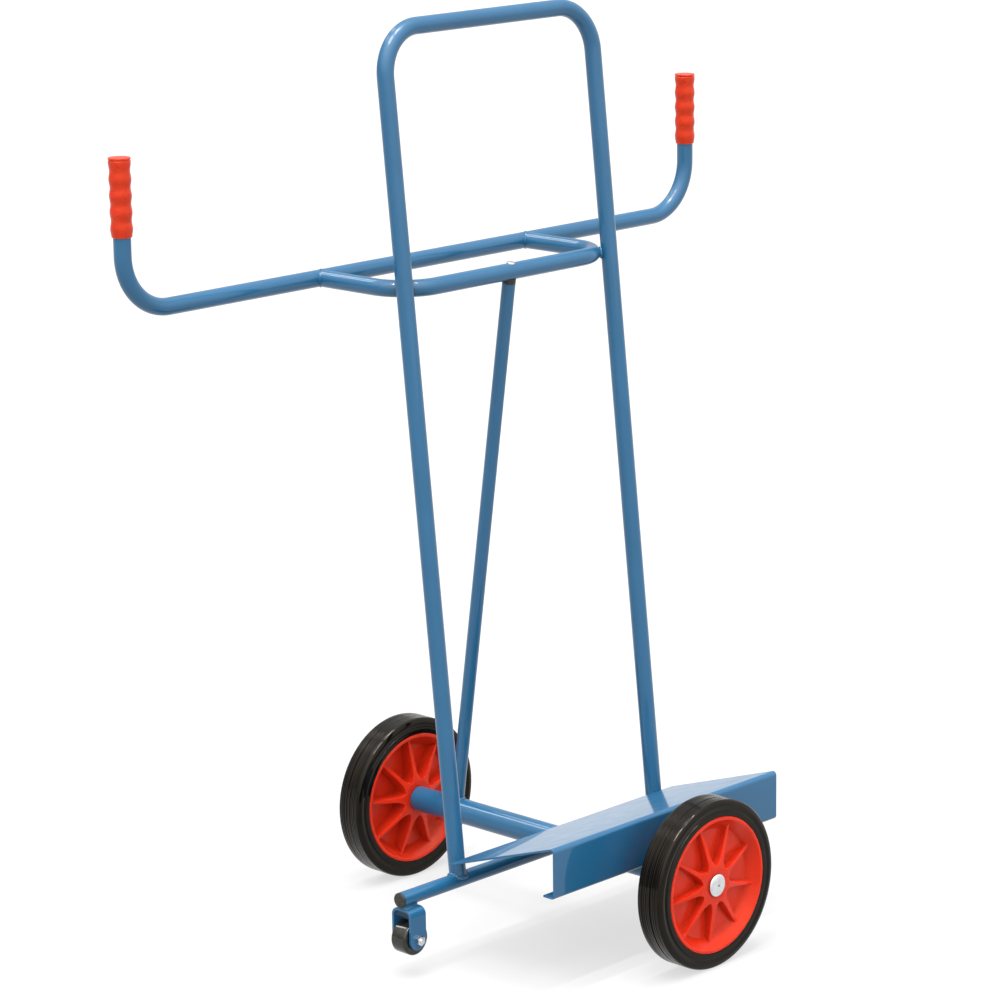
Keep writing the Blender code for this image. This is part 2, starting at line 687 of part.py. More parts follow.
def build_caster(side, sign):
    """Fixed caster about an empty on the roller's axle, with Z of the turned pieces along -Y."""
    centre = Matrix.Translation((sign * CASTER_REACH, BEAM_Y, OUTRIGGER_HEIGHT - CASTER_DROP))
    middle = add_empty(f"{side}_roller", centre)
    across = Matrix.Rotation(math.pi / 2, 4, "X")
    add_fork(side, centre)

    half = ROLLER_WIDTH / 2
    radius = ROLLER_DIAMETER / 2
    sleeve_outer = SLEEVE / 2
    bore = clear_radius(sleeve_outer, ROUND_STEPS)
    half_profile = [(bore, half)] + rounded(radius, half, ROLLER_EDGE, ROLLER_EDGE, EDGE_STEPS)
    name = f"caster_roller_{side}"
    roller = lathe_mesh(name, mirrored(half_profile), ROUND_STEPS, ring=True)
    add_object(name, roller, BLACK_PLASTIC, across, middle)

    name = f"caster_sleeve_{side}"
    sleeve_half = FORK_INSIDE / 2 - GAP
    sleeve_bore = clear_radius(CASTER_BOLT / 2, ROUND_STEPS)
    sleeve = sleeve_mesh(name, sleeve_bore, sleeve_outer, -sleeve_half, sleeve_half, ROUND_STEPS)
    add_object(name, sleeve, GREY_STEEL, across, middle)

    face = FORK_OUTSIDE / 2 + GAP
    shank = CASTER_BOLT / 2
    bolt_loops = [
        hexagon(BOLT_ACROSS_FLATS, -face - BOLT_HEAD_HEIGHT),
        hexagon(BOLT_ACROSS_FLATS, -face),
        circle(shank, -face, 12),
        circle(shank, face + NUT_HEIGHT + BOLT_END, 12),
    ]
    name = f"caster_bolt_{side}"
    add_object(name, loft_mesh(name, bolt_loops), BRIGHT_ZINC, across, middle)

    thread = clear_radius(shank, 12)
    nut_loops = [
        circle(thread, face, 12),
        hexagon(BOLT_ACROSS_FLATS, face),
        hexagon(BOLT_ACROSS_FLATS, face + NUT_HEIGHT),
        circle(thread, face + NUT_HEIGHT, 12),
    ]
    name = f"caster_nut_{side}"
    add_object(name, loft_mesh(name, nut_loops, ring=True), BRIGHT_ZINC, across, middle)


def add_fork(side, centre):
    """Flat bar bent into a U with round tips, under the outrigger."""
    half_y = FORK_OUTSIDE / 2
    top = CASTER_DROP - OUTRIGGER_TUBE / 2 - GAP
    tip = FORK_WIDTH / 2
    corners = [
        Vector((0.0, -half_y, 0.0)),
        Vector((0.0, -half_y, top)),
        Vector((0.0, half_y, top)),
        Vector((0.0, half_y, 0.0)),
    ]
    straight = bent_path(corners, FORK_BEND, FOLD_STEPS)
    angles = [FORK_TIP_TURN * (1 - i / FORK_TIP_STEPS) for i in range(FORK_TIP_STEPS)]
    front_tip = [(Vector((0.0, -half_y, -tip * math.sin(a))), None) for a in angles]
    rear_tip = [(Vector((0.0, half_y, -tip * math.sin(a))), None) for a in reversed(angles)]
    tip_widths = [tip * math.cos(a) for a in angles]
    widths = tip_widths + [tip] * len(straight) + tip_widths[::-1]
    name = f"caster_fork_{side}"
    fork = add_strip(name, front_tip + straight + rear_tip, widths, FORK_SHEET, BLUE_COAT, centre)
    reach = Vector((0.0, FORK_OUTSIDE, 0.0))
    middle = centre.translation
    hole = cutting_rod(f"bolt_hole_{side}", CASTER_BOLT / 2, middle - reach, middle + reach)
    combine(fork, hole, "DIFFERENCE")


def build_dolly():
    clear_scene()
    along = Vector((OUTRIGGER_REACH, 0.0, 0.0))
    across = Vector((0.0, WHEEL_TRACK, 0.0))
    beam = Vector((0.0, BEAM_Y, OUTRIGGER_HEIGHT))
    axle = Vector((0.0, 0.0, AXLE_HEIGHT))
    bar = Vector((0.0, HANDLE_Y, HANDLE_HEIGHT))
    outrigger_cut = cutting_rod("outrigger_clearance", OUTRIGGER_TUBE / 2, beam - along, beam + along)
    axle_cut = cutting_rod("axle_clearance", AXLE_TUBE / 2, axle - across, axle + across)
    handle_cut = cutting_rod("handle_clearance", FRAME_TUBE / 2, bar - along, bar + along)
    stay_place, _ = stay_frame()
    bolt_top = stay_place @ Vector((0.0, 0.0, -FRAME_TUBE))
    bolt_low = stay_place @ Vector((0.0, 0.0, FRAME_TUBE))
    bolt_cut = cutting_rod("stay_bolt_hole", STAY_BOLT / 2, bolt_top, bolt_low)

    build_hoop(outrigger_cut)
    build_bracket(handle_cut, bolt_cut)
    build_handle()
    build_stay(axle_cut)
    build_channel()
    build_axle()
    build_wheels()
    build_outriggers(axle_cut)


build_dolly()
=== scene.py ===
"""Looks of the panel dolly: smooth forms, weld beads, finishes, studio and camera.

All sizes are in metres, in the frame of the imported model. X is the direction of
travel, Y runs along the axle from the load to the handle, and Z is up.
"""
import math

import bmesh
import bpy
from mathutils import Matrix, Vector


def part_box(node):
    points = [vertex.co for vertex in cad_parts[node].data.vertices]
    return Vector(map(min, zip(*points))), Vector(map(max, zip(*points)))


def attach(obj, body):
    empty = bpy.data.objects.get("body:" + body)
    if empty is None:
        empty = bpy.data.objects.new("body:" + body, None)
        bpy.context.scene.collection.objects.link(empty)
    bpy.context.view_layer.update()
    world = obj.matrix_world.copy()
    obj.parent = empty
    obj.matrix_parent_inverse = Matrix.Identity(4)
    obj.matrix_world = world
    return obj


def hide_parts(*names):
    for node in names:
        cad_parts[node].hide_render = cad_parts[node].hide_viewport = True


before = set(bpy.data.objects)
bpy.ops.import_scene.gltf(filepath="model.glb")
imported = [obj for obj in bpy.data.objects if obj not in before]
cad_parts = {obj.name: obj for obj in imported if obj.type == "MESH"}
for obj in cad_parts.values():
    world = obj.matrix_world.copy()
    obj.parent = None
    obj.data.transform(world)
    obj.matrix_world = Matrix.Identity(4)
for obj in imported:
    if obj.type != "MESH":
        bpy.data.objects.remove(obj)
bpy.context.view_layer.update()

# Tubes
FRAME_TUBE = 0.025
FRAME_WALL = 0.002
STAY_TUBE = 0.020
STAY_WALL = 0.002
OUTRIGGER_TUBE = 0.022
OUTRIGGER_WALL = 0.002
AXLE_TUBE = 0.038
AXLE_TUBE_WALL = 0.003
HOOP_BEND = 0.068
HOOP_LEAN = math.radians(5.85)
HANDLE_BEND = 0.080
BRACKET_BEND = 0.0616
TUBE_SIDES = 48
BEND_STEPS = 20
FOLD_STEPS = 10                # in a fold of sheet or flat bar
EDGE_STEPS = 6                 # in a rounded edge of a turned piece
JOINT_STEPS = 4 * TUBE_SIDES   # round the line where two tubes meet
NEAR_AXIS = 0.0004             # radius at which a turned end closes
SHARP_EDGE = math.radians(38)  # edges that turn further are shaded as sharp
SOFT_EDGE = math.radians(50)   # edges of sheet that turn further are rounded
SOFT_EDGE_STEPS = 3
FLAT_FACES = math.radians(1)   # neighbours that turn less are merged before that

# Grips
GRIP_BORE = 0.01305
GRIP_WALL = 0.0013             # at the bottom of the finger hollows
GRIP_HOLLOW = 0.0014           # depth of the finger hollows
GRIP_SWELLS = 5
GRIP_HEAD = 0.007              # from the uppermost swell to the top
GRIP_DISC = 0.0021             # thickness of the disc that ends the grip
GRIP_GROOVE = 0.0011           # depth of the groove under that disc
GRIP_END = 0.003               # thickness of the closed end
GRIP_FOOT = GRIP_DISC / 4      # height at which the swells begin
GRIP_SHOULDER = 0.9 * GRIP_HEAD  # from the top down to the end of the uppermost swell
GROOVE_START = 2.2 * GRIP_DISC   # to the lower edge of the groove
GROOVE_FLOOR = 1.6 * GRIP_DISC   # and to its deepest line
GRIP_ROUNDING = (0.0006, 0.0004, 0.0004, 0.0007)
SWELL_STEPS = 20

# Stay
STAY_PLUG_RIM = 0.005          # part of the plug that shows above the stay
STAY_PLUG_CROWN = 0.003        # part of the plug beside the bracket tube
STAY_BOLT = 0.008
STAY_BOLT_HEAD = 0.0125
STAY_BOLT_RISE = 0.002
STAY_END = AXLE_TUBE / 3       # from the axle to the stay's end, inside the axle tube
STAY_PLUG_ROUNDING = (0.0008, 0.0004)
STAY_BOLT_ROUNDING = (0.0001, 0.0003, 0.0012)

# Folded load channel
CHANNEL_LIP = 0.022
CHANNEL_SHEET = 0.003
CHANNEL_FOLD = 0.0763          # height at which wall and plate would meet without a fold
CHANNEL_REAR = 0.0068          # rise of the plate's rear edge above the lip
CHANNEL_BEND = 0.006           # outside radius of the folds
SHEET_EDGE = 0.0005            # roundness of cut sheet edges

# Wheels
TYRE_SEAT = 0.1010
TYRE_BEAD = 0.0080             # height of the raised ring beside the rim
TYRE_STEP = 0.0020             # how far that ring stands out
TYRE_SHOULDER = 0.009
TYRE_WALL_LOW = 0.7 * TYRE_STEP  # how far the wall lies behind the ring beside it
TYRE_WALL_HIGH = TYRE_STEP / 3   # and under the shoulder
TYRE_ROUNDING = (0.0010, 0.0008, 0.0006, 0.0020)
SHOULDER_STEPS = 12
TREAD_WIDTH = 0.035
TREAD_GROOVES = (              # place across the tread, width and depth
    (0.0125, 0.0011, 0.0006),
    (0.0085, 0.0011, 0.0006),
    (0.0035, 0.0018, 0.0013),
    (-0.0035, 0.0011, 0.0006),
    (-0.0080, 0.0011, 0.0006),
    (-0.0120, 0.0012, 0.0007),
)
TYRE_STEPS = 192
RIM_RADIUS = 0.1007
RIM_WIDTH = 0.0464
RIM_LIP = 0.0045
RIM_WALL = 0.0162
RIM_FLOOR_DEPTH = 0.018
RIM_FLOOR_RADIUS = RIM_RADIUS - RIM_LIP - RIM_WALL
RIM_FLOOR = 0.005
RIM_BORE = 0.0133
RIM_ROW = 0.002                # longest step along the rim's section
HUB_OUTER = 0.020
HUB_INNER = 0.026
RIM_ROUNDING = (0.0070, 0.0020, 0.0012)  # foot of the sloping wall, both edges of the lip
HUB_ROWS = 4                   # rows between the bore and the star
STAR_RADIUS = 0.028            # where the pockets between the ribs begin
STAR_ROW = 0.0005              # step along the rim's section there
STAR_ROWS = 20                 # number of those steps
STAR_LEAD = 4                  # and how many lie inside that radius
RIB_COUNT = 9
RIB_TURN = math.radians(16.5)
RIB_WAIST = 0.0035             # half width of the crest where the pockets begin, without the flare
RIB_TIP = 0.0017               # and at the sloping wall
RIB_FLARE = 0.0045             # length over which the ribs spread out into the star
RIB_FLANK = 0.0018             # width of a rib's side
RIB_END = 0.53                 # height of a rib's outer end over its height at the star
RIB_BLEND = 0.0022             # softness where ribs run into the sloping wall
CREST_LINES = (0.5, 0.85, 1.0)  # mesh lines along a rib, as shares of its crest's half width
FLANK_LINES = (0.12, 0.25, 0.38, 0.5, 0.62, 0.75, 0.88, 1.0)  # and of its side's width
SPARE_LINES = 2                # places left free beyond them where they spread evenly
LINE_LIMIT = 0.3               # share of the sector that the first line may reach at most
LINE_LIMIT_STEP = 0.05         # and how much further each of the next may reach
POCKET_STEPS = 4               # between a rib's foot and the middle of the pocket
CAP_RADIUS = 0.0165
CAP_RISE = 0.0036
CAP_HOLE = 0.0018              # radius of the hole in the cap's middle
CAP_EDGE = 0.0009
CAP_SHEET = 0.0011
CAP_STEPS = 24
WASHER_RADIUS = 0.015
WASHER_ROUNDING = (0.0004, 0.0004)
OUTER_WASHER = 0.0015
INNER_WASHER = 0.0020
CLEARANCE = 0.0003
AXLE_RADIUS = 0.010
CENTRE_DRILL = 0.0021          # radius of the drilled cone in each end of the axle
CENTRE_DRILL_DEPTH = 0.0036
SHAFT_ROUNDING = (0.0002, 0.0015, 0.0015, 0.0002)
BUSH_WALL = 0.0027
BUSH_INSET = 0.0005
ROUND_STEPS = 64

# Casters
END_PLUG_RIM = 0.003           # part of an outrigger's plug outside the tube
END_PLUG_DEPTH = 0.017
END_PLUG_STEM = 0.0086
END_PLUG_ROUNDING = (0.0002, 0.0004, 0.0014)
ROLLER_EDGE = 0.003
ROLLER_EDGE_STEPS = 8
FORK_WIDTH = 0.031
FORK_SHEET = 0.004
FORK_BEND = 0.011
FORK_EDGE = 0.0006
FORK_TIP_ARC = math.radians(84)  # of the quarter circle on each side of a fork's tip
FORK_TIP_STEPS = 14
CASTER_BOLT = 0.008
BOLT_ACROSS_FLATS = 0.013
BOLT_FACE = 0.96               # width of a hexagon's turned face over that across its flats
BOLT_CHAMFER = math.pi / 6
NUT_HEIGHT = 0.0065
BOLT_END = 0.002
BOLT_END_ROUNDING = (0.0008,)
SLEEVE_RADIUS = 0.006

# Welds
WELD = 0.0024                  # radius of a bead
WIDE_WELD = 0.0030
LEG_WELD_REACH = 0.0070        # from the point of touch to the bead round it
FORK_FILLET = 0.0036           # radius of the hollow weld between fork and outrigger
FORK_WELD_LENGTH = 0.028
FORK_WELD_RISE = 0.0022        # thickness of that weld under the outrigger
FORK_WELD_SINK = FORK_SHEET / 3  # and how far it reaches into the fork
FORK_WELD_STEPS = 12
FORK_WELD_SIZES = (            # share of its length, and size of the section there
    (0.0, 0.6),
    (0.03, 0.85),
    (0.08, 1.0),
    (0.86, 1.0),
    (0.95, 0.85),
    (1.0, 0.6),
)
FINE_WELD = 0.0012
WELD_PITCH = 0.0026            # length of one ripple
WELD_RIPPLE = 0.08             # depth of a ripple over the bead's radius
WELD_SIDES = 10
RIPPLE_STEPS = 6

# Camera and studio
CAMERA_PLACE = (-3.88256, -3.65783, 1.92176)
CAMERA_HEADING = math.radians(45.97)
CAMERA_DIP = math.radians(13.494)
CAMERA_ROLL = math.radians(-0.734)
CAMERA_LENS = 135.377
SENSOR = 36.0
FLOOR_HALF = 30.0
SKY_NEAR = 1.8                 # brightness of the surroundings in front of the load
SKY_FAR = 0.45                 # and behind the handle
SKY_RISE = 0.2                 # added straight above
CEILING_ROWS = (-0.18, 0.02)   # directions along Y of the rows of light strips
CEILING_COLUMNS = (-0.34, 0.04)  # and along X
STRIP_HALF = (0.14, 0.014)     # half length and half width of a strip
STRIP_LIGHT = 120.0
PANEL_PLACES = ((-0.17, 0.68), (0.12, 0.68))  # directions along X and Y of two panels of light
PANEL_HALF = (0.06, 0.06)      # half length and half width of a panel
PANEL_LIGHT = 11.0
KEY_WAY = (-0.55, -0.30, 0.78)  # direction of the soft main light
KEY_LIGHT = 4.2                # its added brightness
KEY_FOCUS = 1.5                # how quickly it falls off away from that direction
FLOOR_GLOW = 0.64              # light from the floor itself, as on a lit table
WHITE = (1.0, 1.0, 1.0, 1.0)

# Finishes
TONE_STOPS = (0.35, 0.65)      # noise levels at which each of the two tones is pure
GLOSS_STOPS = (0.3, 0.7)       # noise levels between which the roughness changes
GLOSS_PATCH = 3                # how many patches of gloss lie across a patch of colour
TONE_DETAIL = 3.0              # octaves of the noise for tones, gloss and grain
GLOSS_DETAIL = 4.0
GRAIN_DETAIL = 2.0
WAVE_PERIOD = math.pi / 10     # pitch of Blender's wave texture at scale 1
WAVE_WOBBLE = 0.4
RED_SCATTER = (1.0, 0.25, 0.10)

WHEEL_SIDES = {"front": -1, "rear": 1}
CASTER_SIDES = {"left": -1, "right": 1}


def middle(node):
    low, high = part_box(node)
    return (low + high) / 2


AXLE_HEIGHT = middle("tyre_front").z
BEAM_Y = middle("outrigger_left").y
BEAM_HEIGHT = middle("outrigger_left").z
HANDLE_Y = middle("handle_bar").y
HANDLE_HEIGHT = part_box("handle_bar")[0].z + FRAME_TUBE / 2
BRACKET_Y = BEAM_Y + (HANDLE_HEIGHT - BEAM_HEIGHT) * math.tan(HOOP_LEAN)
HOOP_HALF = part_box("hoop_frame")[1].x - FRAME_TUBE / 2
HOOP_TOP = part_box("hoop_frame")[1].z - FRAME_TUBE / 2
AXLE_TUBE_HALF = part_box("axle_tube")[1].y


def add_noise(tree, place, size, detail):
    """Noise whose features are about this many metres across."""
    noise = tree.nodes.new("ShaderNodeTexNoise")
    noise.inputs["Scale"].default_value = 1 / size
    noise.inputs["Detail"].default_value = detail
    tree.links.new(place, noise.inputs["Vector"])
    return noise.outputs["Fac"]


def add_waves(tree, place, kind, pitch):
    """Fine lines: rings about the piece's own Z axis, or bands that follow each other along it."""
    wave = tree.nodes.new("ShaderNodeTexWave")
    wave.wave_type = kind
    wave.rings_direction = "Z"
    wave.bands_direction = "Z"
    wave.inputs["Scale"].default_value = WAVE_PERIOD / pitch
    wave.inputs["Distortion"].default_value = WAVE_WOBBLE
    tree.links.new(place, wave.inputs["Vector"])
    return wave.outputs["Fac"]


def make_material(name, tones, patch, roughness, grain, relief, sockets, lines=None):
    """A finish with two tones in soft patches, uneven gloss and a fine relief.

    patch and grain are the sizes of the patches and of the relief, and relief is its height.
    The relief is a grain, or lines of the kind that add_waves makes.
    """
    material = bpy.data.materials.new(name)
    material.use_nodes = True
    tree = material.node_tree
    shader = tree.nodes["Principled BSDF"]
    for socket, value in sockets.items():
        shader.inputs[socket].default_value = value
    place = tree.nodes.new("ShaderNodeTexCoord").outputs["Object"]

    cloud = add_noise(tree, place, patch, TONE_DETAIL)
    ramp = tree.nodes.new("ShaderNodeValToRGB")
    for stop, position, tone in zip(ramp.color_ramp.elements, TONE_STOPS, tones):
        stop.position = position
        stop.color = (*tone, 1.0)
    tree.links.new(cloud, ramp.inputs["Fac"])
    tree.links.new(ramp.outputs["Color"], shader.inputs["Base Color"])

    gloss = tree.nodes.new("ShaderNodeMapRange")
    gloss.inputs["From Min"].default_value = GLOSS_STOPS[0]
    gloss.inputs["From Max"].default_value = GLOSS_STOPS[1]
    gloss.inputs["To Min"].default_value = roughness[0]
    gloss.inputs["To Max"].default_value = roughness[1]
    tree.links.new(add_noise(tree, place, patch / GLOSS_PATCH, GLOSS_DETAIL), gloss.inputs["Value"])
    tree.links.new(gloss.outputs["Result"], shader.inputs["Roughness"])

    bump = tree.nodes.new("ShaderNodeBump")
    bump.inputs["Distance"].default_value = relief
    if lines:
        height = add_waves(tree, place, lines, grain)
    else:
        height = add_noise(tree, place, grain, GRAIN_DETAIL)
    tree.links.new(height, bump.inputs["Height"])
    tree.links.new(bump.outputs["Normal"], shader.inputs["Normal"])
    return material


FINISHES = {
    "blue_coat": {
        "tones": ((0.0077, 0.0600, 0.126), (0.0092, 0.0650, 0.136)),
        "patch": 0.09, "roughness": (0.30, 0.36), "grain": 0.0030, "relief": 0.000006,
        "sockets": {
            "Specular IOR Level": 0.1, "Coat Weight": 0.54, "Coat Roughness": 0.03, "Coat IOR": 1.55,
        },
    },
    "red_grip": {
        "tones": ((0.326, 0.0130, 0.0026), (0.364, 0.0158, 0.0034)),
        "patch": 0.02, "roughness": (0.26, 0.34), "grain": 0.0006, "relief": 0.00003,
        "sockets": {
            "Specular IOR Level": 0.4, "Specular Tint": (1.0, 0.60, 0.36, 1.0),
            "Subsurface Weight": 0.5, "Subsurface Radius": RED_SCATTER, "Subsurface Scale": 0.006,
        },
    },
    "red_rim": {
        "tones": ((0.370, 0.0136, 0.0038), (0.405, 0.0164, 0.0048)),
        "patch": 0.05, "roughness": (0.18, 0.26), "grain": 0.0012, "relief": 0.000015,
        "sockets": {
            "Specular IOR Level": 0.22, "Specular Tint": (1.0, 0.55, 0.38, 1.0),
            "Subsurface Weight": 0.8, "Subsurface Radius": RED_SCATTER, "Subsurface Scale": 0.012,
        },
    },
    "black_rubber": {
        "tones": ((0.0012, 0.0009, 0.0005), (0.0026, 0.0019, 0.0012)),
        "patch": 0.03, "roughness": (0.04, 0.08), "grain": 0.0031, "relief": 0.00028,
        "sockets": {"Specular IOR Level": 0.16, "Specular Tint": (1.0, 0.87, 0.74, 1.0)},
        "lines": "BANDS",
    },
    "black_plastic": {
        "tones": ((0.009, 0.009, 0.006), (0.025, 0.025, 0.018)),
        "patch": 0.003, "roughness": (0.45, 0.60), "grain": 0.0005, "relief": 0.00008,
        "sockets": {"Specular IOR Level": 0.25},
    },
    "roller_plastic": {
        "tones": ((0.004, 0.004, 0.0025), (0.012, 0.012, 0.008)),
        "patch": 0.008, "roughness": (0.05, 0.10), "grain": 0.0040, "relief": 0.00006,
        "sockets": {"Specular IOR Level": 0.4},
    },
    "bright_zinc": {
        "tones": ((0.52, 0.53, 0.54), (0.62, 0.63, 0.64)),
        "patch": 0.012, "roughness": (0.16, 0.30), "grain": 0.0004, "relief": 0.000012,
        "sockets": {"Metallic": 1.0},
        "lines": "RINGS",
    },
    "grey_steel": {
        "tones": ((0.38, 0.39, 0.40), (0.46, 0.47, 0.48)),
        "patch": 0.01, "roughness": (0.30, 0.42), "grain": 0.0006, "relief": 0.00002,
        "sockets": {"Metallic": 1.0},
        "lines": "RINGS",
    },
    "white_nylon": {
        "tones": ((0.74, 0.73, 0.68), (0.80, 0.79, 0.74)),
        "patch": 0.01, "roughness": (0.40, 0.50), "grain": 0.0006, "relief": 0.00002,
        "sockets": {"Subsurface Weight": 0.1},
    },
}
FLOOR_FINISH = {
    "tones": ((0.112, 0.112, 0.112), (0.118, 0.118, 0.118)),
    "patch": 0.8, "roughness": (0.75, 0.85), "grain": 0.004, "relief": 0.00002,
    "sockets": {"Specular IOR Level": 0.2, "Emission Color": WHITE, "Emission Strength": FLOOR_GLOW},
}
MATERIALS = {name: make_material(name, **finish) for name, finish in FINISHES.items()}


def add_piece(name, shape, slot, nodes=(), body="frame", place=Matrix()):
    """A smooth piece from (vertices, faces) that stands for CAD nodes and rides on a body."""
    mesh = bpy.data.meshes.new(name)
    mesh.from_pydata(shape[0], [], shape[1])
    form = bmesh.new()
    form.from_mesh(mesh)
    bmesh.ops.recalc_face_normals(form, faces=form.faces)
    form.to_mesh(mesh)
    form.free()
    mesh.shade_smooth()
    mesh.set_sharp_from_angle(angle=SHARP_EDGE)
    mesh.materials.append(MATERIALS[slot])
    piece = bpy.data.objects.new(name, mesh)
    bpy.context.collection.objects.link(piece)
    piece.matrix_world = place
    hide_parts(*nodes)
    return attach(piece, body)


def soften(piece, width):
    """Round off the sharp edges.

    Flat faces are merged first, because narrow ones would limit the rounding.
    """
    form = bmesh.new()
    form.from_mesh(piece.data)
    bmesh.ops.dissolve_limit(form, angle_limit=FLAT_FACES, verts=form.verts, edges=form.edges)
    form.to_mesh(piece.data)
    form.free()
    bevel = piece.modifiers.new("soft_edges", "BEVEL")
    bevel.width = width
    bevel.segments = SOFT_EDGE_STEPS
    bevel.limit_method = "ANGLE"
    bevel.angle_limit = SOFT_EDGE
    bevel.harden_normals = True


def loft(loops, ring=False):
    """Vertices and faces of a body through loops of points, closed as a ring or by caps."""
    count = len(loops[0])
    points = [point for loop in loops for point in loop]
    faces = []
    for low in range(len(loops) if ring else len(loops) - 1):
        high = (low + 1) % len(loops)
        for i in range(count):
            j = (i + 1) % count
            faces.append((low * count + i, low * count + j, high * count + j, high * count + i))
    if not ring:
        last = (len(loops) - 1) * count
        faces.append(tuple(reversed(range(count))))
        faces.append(tuple(range(last, last + count)))
    return points, faces


def round_angles(count):
    return [2 * math.pi * i / count for i in range(count)]


def circle(radius, height, sides):
    return [Vector((radius * math.cos(a), radius * math.sin(a), height)) for a in round_angles(sides)]


def turned(profile, sides=ROUND_STEPS, ring=False):
    """A body turned about Z from (radius, height) points."""
    return loft([circle(radius, height, sides) for radius, height in profile], ring)


def bent_path(corners, radii, steps):
    """Points and directions along straight runs that are joined by arcs of these radii."""
    path = [(corners[0], (corners[1] - corners[0]).normalized())]
    for before, corner, after, radius in zip(corners, corners[1:], corners[2:], radii):
        inward = (corner - before).normalized()
        outward = (after - corner).normalized()
        turn = inward.angle(outward)
        start = corner - inward * radius * math.tan(turn / 2)
        side = (outward - inward * inward.dot(outward)).normalized()
        centre = start + side * radius
        for step in range(steps + 1):
            angle = turn * step / steps
            direction = inward * math.cos(angle) + side * math.sin(angle)
            arm = inward * math.sin(angle) - side * math.cos(angle)
            path.append((centre + arm * radius, direction))
    path.append((corners[-1], (corners[-1] - corners[-2]).normalized()))
    return path


def rounded_profile(corners, radii, steps=EDGE_STEPS):
    """(radius, height) points of a section with rounded corners."""
    path = bent_path([Vector((radius, 0.0, height)) for radius, height in corners], radii, steps)
    return [(point.x, point.z) for point, _ in path]


def divided(profile, longest):
    """The profile with points added so that no step is longer than this."""
    points = [profile[0]]
    for (r0, h0), (r1, h1) in zip(profile, profile[1:]):
        parts = max(1, math.ceil(math.hypot(r1 - r0, h1 - h0) / longest))
        points += [(r0 + (r1 - r0) * i / parts, h0 + (h1 - h0) * i / parts) for i in range(1, parts + 1)]
    return points


def tube(path, diameter, wall, plane):
    """A hollow tube along a flat path; plane is the normal of the path's plane."""
    def around(radius):
        loops = []
        for point, direction in path:
            across = plane.cross(direction)
            rays = [across * math.cos(a) + plane * math.sin(a) for a in round_angles(TUBE_SIDES)]
            loops.append([point + ray * radius for ray in rays])
        return loops

    return loft(around(diameter / 2) + around(diameter / 2 - wall)[::-1], ring=True)


def straight(start, end):
    direction = (end - start).normalized()
    return [(start, direction), (end, direction)]


def bead(name, points, centre, radius):
    """A rippled weld bead along a closed line of points round a centre."""
    points = points + points[:1]
    lengths = [0.0]
    for a, b in zip(points, points[1:]):
        lengths.append(lengths[-1] + (b - a).length)
    ripples = max(2, round(lengths[-1] / WELD_PITCH))
    count = ripples * RIPPLE_STEPS
    loops = []
    index = 0
    for i in range(count):
        reach = lengths[-1] * i / count
        while index < len(points) - 2 and lengths[index + 1] < reach:
            index += 1
        step = points[index + 1] - points[index]
        point = points[index] + step * ((reach - lengths[index]) / step.length)
        along = step.normalized()
        out = point - centre
        out = (out - along * out.dot(along)).normalized()
        side = along.cross(out)
        size = radius * (1 + WELD_RIPPLE * math.cos(2 * math.pi * ripples * i / count))
        rays = [out * math.cos(a) + side * math.sin(a) for a in round_angles(WELD_SIDES)]
        loops.append([point + ray * size for ray in rays])
    add_piece(name, loft(loops, ring=True), "blue_coat")


def tube_joint(start, along, radius, main_point, main_axis, main_radius, furthest):
    """Line where a tube from start, running along, meets the surface of a round main tube."""
    first = along.orthogonal().normalized()
    second = along.cross(first)
    flat_along = along - main_axis * along.dot(main_axis)
    points = []
    for angle in round_angles(JOINT_STEPS):
        edge = start + (first * math.cos(angle) + second * math.sin(angle)) * radius
        offset = edge - main_point
        offset -= main_axis * offset.dot(main_axis)
        a = flat_along.dot(flat_along)
        b = offset.dot(flat_along)
        c = offset.dot(offset) - main_radius ** 2
        reach = (-b - math.sqrt(max(b * b - a * c, 0.0))) / a
        points.append(edge + along * min(reach, furthest))
    return points


def build_hoop():
    """Leaning hoop, welded onto the outriggers."""
    foot = OUTRIGGER_TUBE / 4
    top = (HOOP_TOP - BEAM_HEIGHT) / math.cos(HOOP_LEAN)
    lean = Matrix.Translation((0.0, BEAM_Y, BEAM_HEIGHT)) @ Matrix.Rotation(-HOOP_LEAN, 4, "X")
    corners = [
        lean @ Vector((-HOOP_HALF, 0.0, foot)),
        lean @ Vector((-HOOP_HALF, 0.0, top)),
        lean @ Vector((HOOP_HALF, 0.0, top)),
        lean @ Vector((HOOP_HALF, 0.0, foot)),
    ]
    path = bent_path(corners, (HOOP_BEND, HOOP_BEND), BEND_STEPS)
    shape = tube(path, FRAME_TUBE, FRAME_WALL, lean.to_3x3() @ Vector((0, 1, 0)))
    add_piece("hoop", shape, "blue_coat", ["hoop_frame"])
    down = lean.to_3x3() @ Vector((0, 0, -1))
    for side, sign in CASTER_SIDES.items():
        base = Vector((sign * HOOP_HALF, BEAM_Y, BEAM_HEIGHT))
        start = base - down * FRAME_TUBE
        line = tube_joint(
            start, down, FRAME_TUBE / 2, base, Vector((1, 0, 0)), OUTRIGGER_TUBE / 2, FRAME_TUBE - foot,
        )
        bead(f"hoop_weld_{side}", line, base + Vector((0, 0, foot)), WIDE_WELD)


